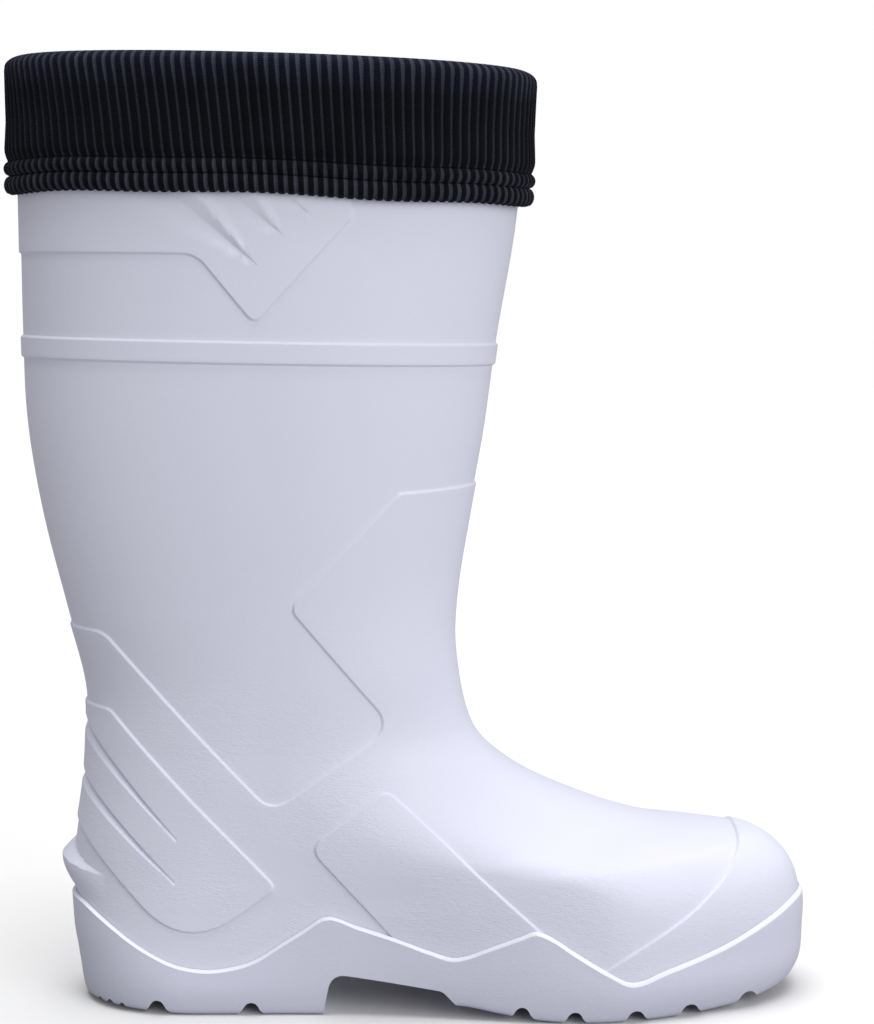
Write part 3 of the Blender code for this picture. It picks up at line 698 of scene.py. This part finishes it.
def cut_at(bm, field, level, outer, near=NEAR, within=None):
    """Cut the outer faces where a field has this value; points already near are moved onto the line."""
    bm.verts.index_update()
    here = np.array([vert.co for vert in bm.verts])
    on_skin = np.array([vert[outer] for vert in bm.verts]) > 0
    if within:
        on_skin &= within(here)
    depth = np.full(len(here), 1.0)
    depth[on_skin] = field(here[on_skin]) - level
    close = on_skin & (np.abs(depth) < near)
    if close.any():
        spots = here[close]
        step = 5e-5
        gradient = np.column_stack([(field(spots + shift) - field(spots - shift)) / (2 * step)
                                    for shift in np.eye(3) * step])
        normals = np.array([vert[outer_normal(bm)] for vert, c in zip(bm.verts, close) if c])
        tangent = gradient - (gradient * normals).sum(axis=1)[:, None] * normals
        size = (tangent ** 2).sum(axis=1)
        slide = np.where(size > 0.15, -depth[close] / np.maximum(size, 1e-9), 0)
        moved = spots + tangent * slide[:, None]
        for vert, spot in zip([vert for vert, c in zip(bm.verts, close) if c], moved):
            vert.co = spot
        here[close] = moved
        depth[close] = 0
    edges = list(bm.edges)
    ends = np.array([[edge.verts[0].index, edge.verts[1].index] for edge in edges])
    both = on_skin[ends].all(axis=1)
    crossing = both & (depth[ends[:, 0]] * depth[ends[:, 1]] < 0)
    edges = [edge for edge, cut in zip(edges, crossing) if cut]
    low, high = ends[crossing].T
    flip = depth[low] > 0
    low, high = np.where(flip, high, low), np.where(flip, low, high)
    start, end = np.zeros(len(low)), np.ones(len(low))
    for _ in range(14):
        share = (start + end) / 2
        inside = field(here[low] + (here[high] - here[low]) * share[:, None]) > level
        start, end = np.where(inside, start, share), np.where(inside, share, end)
    verts = list(bm.verts)
    on_line = [vert for vert, d, s in zip(verts, depth, on_skin) if d == 0 and s]
    for edge, vert_index, share in zip(edges, low, np.clip((start + end) / 2, 0.02, 0.98)):
        on_line.append(bmesh.utils.edge_split(edge, verts[vert_index], share)[1])
    bmesh.ops.connect_verts(bm, verts=on_line)
    split_skin(bm, outer)


def outer_normal(bm):
    """The layer with the form's normals."""
    return bm.verts.layers.float_vector["normal"]


def shaped_normals(points, along, normals):
    """Shading normals of the displaced skin, from small steps in two directions along it."""
    side = np.cross(normals, (0.0, 0.0, 1.0))
    side /= np.maximum(np.linalg.norm(side, axis=1, keepdims=True), 1e-9)
    up = np.cross(side, normals)
    step = 6e-5
    result = normals.copy()
    for direction in (side, up):
        rise = relief(points + direction * step, along) - relief(points - direction * step, along)
        slope = rise / (2 * step)
        result -= direction * slope[:, None]
    return result / np.linalg.norm(result, axis=1, keepdims=True)


def cut_groove(bm, groove, share, level, reach, outer):
    """Cut along a groove at a distance from its line; a share adds that part of its tapering lower side."""
    def field(points):
        left, below = groove_frame(points, groove)
        return below - groove.low_width * share * left
    cut_at(bm, field, level, outer, NEAR / 2, lambda points: close_to(points, groove, reach))


def behind_heel(points):
    """Which points are far enough back for the ledge."""
    return points[:, 0] < -0.12


# %% Build the upper
UPPER_COLUMNS = 300
INSIDE_ROWS = 14


def make_upper():
    """The hollow shell: rows down the outside and up the inside, cut along the steps, then pushed out."""
    angles, _ = even_angles(UPPER_COLUMNS, KNOTS[6])
    angles = (angles + np.arange(UPPER_COLUMNS) / UPPER_COLUMNS * 2 * math.pi) / 2
    edge = edge_along(angles)
    start = KNOTS[FOOT_RING]
    rows = [np.full(UPPER_COLUMNS, along) for along in np.arange(0, start - 0.001, 0.0030)]
    rows += [start + (edge - start) * share for share in np.linspace(0, 1, 50)]
    rows += [edge + 0.0012, edge + 0.004]
    print(len(rows), "rows outside,", INSIDE_ROWS, "inside")
    lowest = rows[-1]
    inner = [lowest * share for share in np.linspace(1, 0, INSIDE_ROWS)]
    bm = bmesh.new()
    normal = bm.verts.layers.float_vector.new("normal")
    along_layer = bm.verts.layers.float.new("along")
    outer = bm.verts.layers.float.new("outer")
    points = [surface(along, angles) for along in rows] + [surface(along, angles, -WALL) for along in inner]
    loops = add_rows(bm, points + points[:1])
    for ring, along in zip(loops, rows):
        for vert, direction, distance in zip(ring, form_normal(along, angles), along):
            vert[normal] = direction
            vert[along_layer] = distance
            vert[outer] = 1
    bmesh.ops.remove_doubles(bm, verts=loops[0] + loops[-1], dist=1e-6)
    skin = [face for face in bm.faces if all(vert[outer] > 0 for vert in face.verts)]
    bmesh.ops.triangulate(bm, faces=skin, quad_method="SHORT_EDGE", ngon_method="BEAUTY")
    fields = [lambda p: np.maximum(depth_inside(p, PANELS[0]), depth_inside(p, PANELS[1])),
              lambda p: np.max([depth_inside(p, panel) for panel in PANELS[2:5]], axis=0),
              lambda p: depth_inside(p, PANELS[5])]
    for field in fields:
        for share in (0, ROUNDING, 1 - ROUNDING, 1):
            cut_at(bm, field, share * STEP_SLOPE, outer)
    for gill in GILLS:
        refine(bm, gill, GILL_REACH, outer)
        for level in (-gill.high_width, -gill.high_width / 2, 0.0):
            cut_groove(bm, gill, 0.0, level, GILL_REACH, outer)
        for share in (0.12, 0.88, 1.0):
            cut_groove(bm, gill, share, 0.0, GILL_REACH, outer)
    for fin in FINS:
        for share in (0.0, 0.75, 1.0):
            cut_groove(bm, fin, share, 0.0, FIN_REACH, outer)
    for level in (0.0006, 0.0):
        cut_at(bm, above_ridge, level, outer, within=behind_heel)
    cut_at(bm, lambda p: above_ridge(p) - slope_height(p), 0.0, outer, within=behind_heel)
    bm.verts.index_update()
    here = np.array([vert.co for vert in bm.verts])
    skin = np.array([vert[outer] for vert in bm.verts]) > 0
    directions = np.array([vert[normal] for vert in bm.verts])
    directions /= np.maximum(np.linalg.norm(directions, axis=1, keepdims=True), 1e-9)
    along = np.array([vert[along_layer] for vert in bm.verts])
    height = relief(here[skin], along[skin])
    shading = shaped_normals(here[skin], along[skin], directions[skin])
    here[skin] += directions[skin] * height[:, None]
    for vert, spot in zip(bm.verts, here):
        vert.co = spot
    bmesh.ops.recalc_face_normals(bm, faces=bm.faces)
    piece = finish_piece("boot_upper", bm, WHITE_RUBBER)
    normals = np.zeros(len(piece.data.vertices) * 3)
    piece.data.vertices.foreach_get("normal", normals)
    normals = normals.reshape(-1, 3)
    print("shading agrees with the faces:", round(float((normals[skin] * shading).sum(axis=1).mean()), 2))
    normals[skin] = shading
    piece.data.normals_split_custom_set_from_vertices(normals.tolist())
    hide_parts("upper")
    return piece


make_upper()

# %% [markdown]
# ## The sole
# The sole is a cup that holds the upper's foot. Its edge is a crisp slope that catches the light, and a
# painted highlight makes it paler still. The side drops to a rounded corner at the tread. The hollow under the
# arch and the bent channels between the lugs are cut afterwards with a Boolean modifier, as a knife would,
# because they cross the loops of the side.

# %% Heights of the floor inside and under the sole
# Share of the length, then the channel's floor and the foot bed as shares of the seat's height
FLOORS = ((-0.46, 0.44, 1.02), (-0.30, 0.44, 0.98), (-0.17, 0.46, 1.00), (-0.105, 0.82, 1.00),
          (-0.06, 0.84, 0.99), (0.05, 0.63, 0.82), (0.13, 0.37, 0.64), (0.30, 0.34, 0.60),
          (0.42, 0.38, 0.64), (0.53, 0.48, 0.80))
# The tread's height off the floor in metres, at each share of the length
TREAD = ((-0.50, 0.0020), (-0.40, 0.0017), (-0.34, 0.0009), (-0.28, 0.0), (-0.10, 0.0), (0.06, 0.0054),
         (0.119, 0.0030), (0.157, 0.0011), (0.21, 0.0), (0.33, 0.0), (0.40, 0.0008), (0.46, 0.0028),
         (0.53, 0.0066))
SOLE_OUT = 0.0028       # how far the sole's side stands outside the form
EDGE_OUT = 0.0014       # and outside the upper's relief, at least


def channel(x, column=1):
    """Height of the channel that the upper's wall stands in."""
    table = np.array(FLOORS)
    return smooth_curve(table[:, 0] * LENGTH, table[:, column] * SEAT_HEIGHT, x)[:, 0]


def bed(x):
    """Height of the foot bed."""
    return channel(x, 2)


def ground(x):
    """Height of the tread."""
    return np.maximum(smooth_curve(*zip(*TREAD), np.asarray(x) / LENGTH)[:, 0], 0)


# %% Cutters for the arch and the lugs
def prism(bm, outline, ahead=0.0):
    """A block across the boot with an outline in the side view; its middle runs ahead of its ends."""
    rows = [[(x + shift, y, z) for x, z in outline]
            for y, shift in ((-BALL_WIDTH, -ahead), (0.0, ahead), (BALL_WIDTH, -ahead))]
    loops = add_rows(bm, rows)
    bm.faces.new(loops[0])
    bm.faces.new(loops[-1])
    bmesh.ops.recalc_face_normals(bm, faces=bm.faces)


ARCH = ((-0.113, -0.20, 0), (-0.107, 0.22, 0), (-0.0985, 0.715, 0.022), (0.046, 0.47, 0.016),
        (0.066, 0.20, 0.006), (0.080, -0.20, 0))
# The channels between the lugs: share of the length, and size. They never overlap, so one cut makes them all
LUG_GAPS = ((-0.419, 0.30), (-0.402, 0.36), (-0.383, 0.32), (-0.331, 0.9), (-0.208, 0.9), (0.149, 0.85),
            (0.218, 0.85), (0.296, 0.85), (0.364, 0.85), (0.438, 0.85), (0.4705, 0.36))
GAP_BEND = 0.026        # how far a channel's middle runs ahead, as a share of the length
# A channel's section at size 1, in metres
NOTCH = ((-0.0080, -0.004), (-0.0074, 0.0000), (-0.0062, 0.0007), (-0.0046, 0.0024), (-0.0034, 0.0044),
         (-0.0020, 0.0057), (-0.0002, 0.0062), (0.0016, 0.0057), (0.0027, 0.0044), (0.0036, 0.0024),
         (0.0050, 0.0007), (0.0064, 0.0000), (0.0070, -0.004))


def cut_away(piece, cutter_bm, name):
    """Cut a shape out of a piece, and keep only the result."""
    cutter = add_object(name, mesh_from(name, cutter_bm))
    cut = piece.modifiers.new(name, "BOOLEAN")
    cut.operation = "DIFFERENCE"
    cut.solver = "EXACT"
    cut.object = cutter
    graph = bpy.context.evaluated_depsgraph_get()
    result = bpy.data.meshes.new_from_object(piece.evaluated_get(graph))
    piece.modifiers.remove(cut)
    bpy.data.objects.remove(cutter)
    old, piece.data = piece.data, result
    bpy.data.meshes.remove(old)


# %% Build the sole
SOLE_COLUMNS = 320
SOLE_SHARP = 38         # edges of the sole above this angle stay sharp


def make_sole():
    """The cup: bed, channel, bright edge, side and tread, with the arch and the channels cut out."""
    angles, _ = even_angles(SOLE_COLUMNS, KNOTS[13])
    edge = edge_along(angles)
    proud = relief(surface(edge, angles), edge)
    channel_at = along_where(channel, angles)
    brow = [(0.0, 0.0), (0.0001, 0.22), (0.0013, 1.0)]
    inside = -WALL - GAP
    rows = [surface(along_where(bed, angles, inside), angles, inside),
            surface(channel_at, angles, inside), surface(channel_at, angles, GAP)]
    out = np.maximum(SOLE_OUT, proud + EDGE_OUT)
    window = np.hanning(17)
    out = np.convolve(np.concatenate([out[-8:], out, out[:8]]), window / window.sum(), "valid")
    for down, share in brow:
        rows.append(surface(edge + down, angles, proud + 0.0002 + (out - proud - 0.0002) * share))
    rows.append(surface(edge + 0.0016, angles, out))
    top = edge + 0.0026
    corner = along_where(lambda x: ground(x) + 0.0022, angles, SOLE_OUT)
    for share in np.linspace(0, 1, 12):
        swell = 0.0003 * math.sin(math.pi * share)
        rows.append(surface(top + (corner - top) * share, angles, out + (SOLE_OUT - out) * share + swell))
    for rise, back in ((0.0011, 0.0003), (0.0004, 0.0010), (0.0, 0.0021)):
        rows.append(surface(along_where(lambda x: ground(x) + rise, angles, SOLE_OUT - back), angles,
                            SOLE_OUT - back))
    bm = bmesh.new()
    edge_highlight = bm.verts.layers.float.new("edge_highlight")
    loops = add_rows(bm, rows)
    # The edge's rows get the painted highlight
    for vert in loops[4] + loops[5]:
        vert[edge_highlight] = 1
    close_across(bm, loops[0])
    close_across(bm, loops[-1])
    bmesh.ops.recalc_face_normals(bm, faces=bm.faces)
    piece = finish_piece("boot_sole", bm, SOLE_RUBBER)
    gaps = bmesh.new()
    prism(gaps, rounded_outline(ARCH, SEAT_HEIGHT))
    for share, size in LUG_GAPS:
        x = share * LENGTH
        lift = ground(x)[0]
        prism(gaps, [(x + dx * size, lift + dz * size) for dx, dz in NOTCH], GAP_BEND * LENGTH)
    cut_away(piece, gaps, "gap_cutter")
    piece.data.shade_smooth()
    piece.data.set_sharp_from_angle(angle=math.radians(SOLE_SHARP))
    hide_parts("outsole")
    print("sole:", len(piece.data.polygons), "faces")
    return piece


make_sole()

# %% [markdown]
# ## The ribbed cuff
# The cuff belongs to a warm sock. It comes up inside the collar, rolls over the rim and hangs down outside.
# Its knit has some 136 ribs: wide soft ribs of dark yarn, and narrow sunken stripes of grey. Ribs could be
# painted on, but their outline shows at the hem and the roll, so here they are real. Each rib has eight
# columns of points.

# %% Ribs and hem
RIBS = 136
RIB_COLUMNS = 8
RIB_DEPTH = 0.0011
CUFF_THICKNESS = 0.0043
HEM_ROWS = (0.0074, 0.0058)     # the lower sewn row, and the upper one
SEWN_AT = [13, 25]              # the folds of the section that the thread pulls in


class Fold(NamedTuple):
    """One row of the cuff, from the hem outside to the edge inside."""

    along: float
    offset: float
    ribs: float


def clear(along):
    """How far the cuff stays off the form, to clear the steps that start under it."""
    return 0.0005 + 0.0009 * min(max((along - FADE_TOP) / (FADE_BOTTOM - FADE_TOP), 0), 1)


def cuff_rows():
    """The cuff's section: the hem with its two sewn rows, the outside, the roll and the tuck inside."""
    rows = [Fold(CUFF_LENGTH - 0.0006, clear(CUFF_LENGTH), 0.2),
            Fold(CUFF_LENGTH + 0.0002, clear(CUFF_LENGTH) + 0.0016, 0.8)]
    for i in range(1, 24):
        up = i / 12
        puff = abs(math.sin(math.pi * up)) ** 0.55
        along = CUFF_LENGTH - min(up, 1) * HEM_ROWS[0] - max(up - 1, 0) * HEM_ROWS[1]
        rows.append(Fold(along, clear(along) + CUFF_THICKNESS * (0.62 + 0.46 * puff), 0.35 + 0.75 * puff))
    for share in np.linspace(0, 1, 22):
        along = CUFF_LENGTH - sum(HEM_ROWS) + (0.0012 - CUFF_LENGTH + sum(HEM_ROWS)) * share
        ease = min(share * 7, 1)
        rows.append(Fold(along, clear(along) + CUFF_THICKNESS * (0.70 + 0.28 * math.sin(ease * math.pi / 2)),
                         0.45 + 0.45 * ease))
    inside = -(WALL + 0.0005)
    middle, half = (GAP + inside) / 2, (GAP - inside) / 2
    for turn in np.radians(np.arange(12, 176, 13)):
        reach = half + CUFF_THICKNESS
        rows.append(Fold(-(GAP + CUFF_THICKNESS) * math.sin(turn), middle + reach * math.cos(turn), 0.9))
    for along in np.linspace(0.001, 0.024, 8):
        rows.append(Fold(along, inside - CUFF_THICKNESS, 0.8))
    rows += [Fold(0.024, inside, 0.0), Fold(0.0, inside, 0.0), Fold(-GAP, inside, 0.0),
             Fold(-GAP, GAP, 0.0), Fold(0.012, 0.0004, 0.0), Fold(0.03, clear(0.03), 0.0)]
    return rows


def rib_profile(phase):
    """1 on the wide rib, 0 in the narrow stripe."""
    return np.clip(1.25 * np.abs(np.sin(math.pi * phase)) ** 0.75 - 0.12, 0, 1)


print(len(cuff_rows()), "rows of", RIBS, "ribs")


# %% Build the cuff
def cloth_run(rows):
    """The distance along the cloth from the hem to each row, and at last back to the first."""
    return np.concatenate([[0], np.cumsum([math.dist((a.along, a.offset), (b.along, b.offset))
                                           for a, b in zip(rows, rows[1:] + rows[:1])])])


def make_cuff(material):
    """A tube through the folds, with ribs across them and the knit's own UV map."""
    count = RIBS * RIB_COLUMNS
    angles, _ = even_angles(count, 0.028)
    phase = np.arange(count) / RIB_COLUMNS
    rng = np.random.default_rng(7)
    sway = sum(rng.uniform(0.002, 0.006) * np.sin(angles * k + rng.uniform(0, 6)) for k in (2, 3, 5, 7))
    rows = cuff_rows()
    points = []
    for fold in rows:
        lean = (0.045 + 0.050 * np.cos(angles) + sway) * (fold.along / CUFF_LENGTH - 0.35)
        turned = angles + lean
        swell = rib_profile(phase)
        side = 1 if fold.offset > -WALL / 2 else -1
        offset = fold.offset + side * RIB_DEPTH * fold.ribs * (swell - 0.75)
        along = fold.along - (0.0007 * (1 - swell) if fold.along > CUFF_LENGTH - 0.0008 else 0)
        wave = 0.0006 * np.sin(angles * 3 + 1.0) + 0.0004 * np.sin(angles * 7)
        along = along + wave * max(fold.along / CUFF_LENGTH, 0)
        points.append(surface(along, turned, offset))
    bm = bmesh.new()
    loops = add_rows(bm, points + points[:1])
    uv = bm.loops.layers.uv.new("knit")
    run = cloth_run(rows)
    where = {}
    for loop_index, ring in enumerate(loops):
        for column, vert in enumerate(ring):
            where[vert] = (column / RIB_COLUMNS, run[loop_index])
    for face in bm.faces:
        values = [where[loop.vert] for loop in face.loops]
        wraps = max(v[0] for v in values) - min(v[0] for v in values) > RIBS / 2
        for loop, (u, v) in zip(face.loops, values):
            loop[uv].uv = (u + RIBS if wraps and u < RIBS / 2 else u, v * 1000)
    bmesh.ops.remove_doubles(bm, verts=loops[0] + loops[-1], dist=1e-6)
    bmesh.ops.recalc_face_normals(bm, faces=bm.faces)
    piece = finish_piece("sock_cuff", bm, material)
    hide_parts("cuff")
    return piece


# %% [markdown]
# ## The yarn
# The rib pattern follows the fabric, so it reads the cuff's own UV map: the first number counts ribs, the
# second is the distance along the cloth in millimetres. The stripe colour comes from the fraction of the
# rib. Over the hem and the roll the stripes are wider, where the knit is stretched, and brighter as painted
# light from above; on the roll the rib is painted paler too. Painted shade darkens the two sewn creases, and
# a fine wave across each rib gives the rows of stitches. Sheen gives the pale fuzz that yarn shows at a
# glancing angle.


# %% Ribbed knit
def ribbed_knit():
    """Dark ribs with grey stripes between them, painted light over the hem and the roll, painted shade in the
    sewn creases, and rows of stitches.
    """
    material, tree, shader = new_material("ribbed_yarn", 0.92)
    uv = node(tree, "ShaderNodeUVMap", uv_map="knit").outputs["UV"]
    split = node(tree, "ShaderNodeSeparateXYZ", {"Vector": uv})
    rib, down = split.outputs["X"], split.outputs["Y"]
    away = maths(tree, "ABSOLUTE", maths(tree, "SUBTRACT", maths(tree, "FRACT", rib), 0.5))
    place = own_place(tree)
    fuzz = noise(tree, place, 900.0, 3.0)
    near_hem = rescaled(tree, down, 21.0, 14.0)
    on_roll = rescaled(tree, down, 46.0, 56.0)
    # Over the hem and the roll the stripes are wider, where the knit is stretched, and painted brighter:
    # painted light from above
    stretch_and_painted_light = maths(tree, "MAXIMUM", near_hem, on_roll)
    start = rescaled(tree, stretch_and_painted_light, 0.0, 1.0, 0.385, 0.30)
    end = maths(tree, "ADD", start, 0.07)
    painted_stripe_light = rescaled(tree, stretch_and_painted_light, 0.0, 1.0, 0.5, 1.0)
    stripe = rescaled(tree, maths(tree, "MULTIPLY_ADD", fuzz, 0.08, away), start, end, 0.0, painted_stripe_light)
    # Painted sheen: the rib's colour is paler and bluer on the roll, which faces the light from above
    dark = blend(tree, on_roll, (0.0022, 0.0023, 0.0040, 1), (0.0036, 0.0046, 0.0150, 1))
    colour = blend(tree, stripe, dark, (0.042, 0.045, 0.060, 1))
    colour = dimmed(tree, colour, rescaled(tree, noise(tree, place, 60.0, 3.0), 0.3, 0.7, 0.75, 1.3))
    # Painted shade: the colour darkens along the two sewn creases
    for crease in cloth_run(cuff_rows())[SEWN_AT] * 1000:
        off = maths(tree, "ABSOLUTE", maths(tree, "SUBTRACT", down, float(crease)))
        colour = dimmed(tree, colour, rescaled(tree, off, 0.2, 0.7, 0.25, 1.0))
    tree.links.new(colour, shader.inputs["Base Color"])
    slant = maths(tree, "MULTIPLY_ADD", away, 6.0, maths(tree, "MULTIPLY", down, 7.4))
    height = maths(tree, "MULTIPLY_ADD", fuzz, 1.5, maths(tree, "SINE", slant))
    add_bump(tree, shader, height, 0.5, 0.0002)
    shader.inputs["Specular IOR Level"].default_value = 0.10
    shader.inputs["Sheen Weight"].default_value = 0.04
    shader.inputs["Sheen Roughness"].default_value = 0.45
    shader.inputs["Sheen Tint"].default_value = (0.45, 0.55, 1.0, 1)
    return material


make_cuff(ribbed_knit())


# %% [markdown]
# ## The sock inside
# Behind the collar the sock goes on down the leg into the foot. It is a thin fleece that lies against the
# moulded wall, so its rows follow the form at a small offset, and the last row is closed across as the
# sock's sole. A solidify step gives it its thickness.


# %% Fleece
FLEECE = brushed_fibres("sock_fleece", 350.0, 5.0, 0.7, (0.010, 0.011, 0.016), (0.045, 0.048, 0.060),
                        0.8, 0.0012)
FLEECE.node_tree.nodes["Principled BSDF"].inputs["Sheen Weight"].default_value = 0.3
print("finish of the lining:", FLEECE.name)

# %% Build the sock
SOCK_COLUMNS = 96
SOCK_THICKNESS = 0.0018


def make_sock():
    """The lining: slack rows down the leg and into the foot, closed as a sock's sole."""
    angles, _ = even_angles(SOCK_COLUMNS, KNOTS[8])
    angles = (angles + np.arange(SOCK_COLUMNS) / SOCK_COLUMNS * 2 * math.pi) / 2
    depth = -(WALL + 0.0022)
    foot = along_where(lambda x: bed(x) + 0.0063, angles, depth)
    rng = np.random.default_rng(3)
    waves = [(rng.integers(2, 7), rng.integers(2, 9), rng.uniform(0, 6)) for _ in range(6)]
    rows = []
    for share in np.linspace(0, 1, 60):
        along = 0.020 + (foot - 0.020) * share
        slack = sum(np.sin(a * angles + b * 6 * share + c) for a, b, c in waves) / 6
        loose = 0.0010 * (1 + slack) * math.sin(math.pi * share) ** 0.5
        rows.append(surface(along, angles, depth - loose))
    bm = bmesh.new()
    loops = add_rows(bm, rows)
    close_across(bm, loops[-1])
    bmesh.ops.recalc_face_normals(bm, faces=bm.faces)
    area = sum(face.calc_area() for face in bm.faces)
    bmesh.ops.solidify(bm, geom=list(bm.faces), thickness=SOCK_THICKNESS)
    piece = finish_piece("sock_lining", bm, FLEECE)
    print("sock's cloth:", round(area, 4), "square metres")
    return piece


make_sock()


# %% [markdown]
# ## The insole
# The insole is a flat felt pad under the sock. Its solid already has the right shape, so only its finish
# changes.

# %% Felt for the insole
FELT = brushed_fibres("grey_felt", 500.0, 6.0, 0.5, (0.07, 0.07, 0.08), (0.20, 0.20, 0.21), 0.6, 0.0004)
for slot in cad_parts["insole"].material_slots:
    slot.material = FELT
print("finish of the insole:", FELT.name)

# %% [markdown]
# ## Studio
# A pale floor and large soft lamps show white rubber best. One lamp hangs overhead, so slopes that face up
# are bright and those that face down are dark. The other stands beside the camera, ahead of the toe, and
# leaves the back of the shaft in soft shade. Real sets put dark cards round a white object to stop the
# floor from lighting it from below: here the floor's paint looks white to the camera and sends back only a
# third of the light.

# %% Floor, lamps and camera
floor_bm = bmesh.new()
bmesh.ops.create_grid(floor_bm, x_segments=1, y_segments=1, size=6)
floor = add_object("floor", mesh_from("floor", floor_bm))
paper, paper_tree, paint = new_material("floor_paper", 1.0)
seen = node(paper_tree, "ShaderNodeLightPath").outputs["Is Camera Ray"]
white = blend(paper_tree, seen, (0.35, 0.35, 0.36, 1), (0.88, 0.88, 0.88, 1))
paper_tree.links.new(white, paint.inputs["Base Color"])
paint.inputs["Specular IOR Level"].default_value = 0.0
floor.data.materials.append(paper)


def soft_sun(name, come_from, power, spread, colour=(1, 1, 1)):
    """An even lamp that shines from a direction; the spread makes its shadows soft."""
    data = bpy.data.lights.new(name, "SUN")
    data.energy, data.angle, data.color = power, math.radians(spread), colour
    lamp = add_object(name, data)
    lamp.rotation_euler = Vector(come_from).to_track_quat("Z", "Y").to_euler()


soft_sun("overhead", (0.0, 0.0, 1.0), 2.24, 50)
soft_sun("beside_camera", (0.8, -1.0, 0.32), 1.60, 50)

world = bpy.data.worlds.new("studio")
bpy.context.scene.world = world
world.use_nodes = True
sky = world.node_tree.nodes["Background"]
sky.inputs["Color"].default_value = (1.0, 1.0, 1.0, 1)
sky.inputs["Strength"].default_value = 0.371
backdrop = node(world.node_tree, "ShaderNodeBackground", {"Color": (1, 1, 1, 1), "Strength": 1.0})
seen = node(world.node_tree, "ShaderNodeLightPath")
both = node(world.node_tree, "ShaderNodeMixShader", {0: seen.outputs["Is Camera Ray"]})
world.node_tree.links.new(sky.outputs[0], both.inputs[1])
world.node_tree.links.new(backdrop.outputs[0], both.inputs[2])
world.node_tree.links.new(both.outputs[0], world.node_tree.nodes["World Output"].inputs["Surface"])
bpy.context.scene.view_settings.view_transform = "Standard"

camera_data = bpy.data.cameras.new("camera")
camera_data.lens = 85
camera_data.sensor_width = 36
camera = add_object("camera", camera_data)
camera.location = (0.012, -1.0, 0.2945)
camera.rotation_euler = (math.radians(84.7), 0, 0)
bpy.context.scene.camera = camera
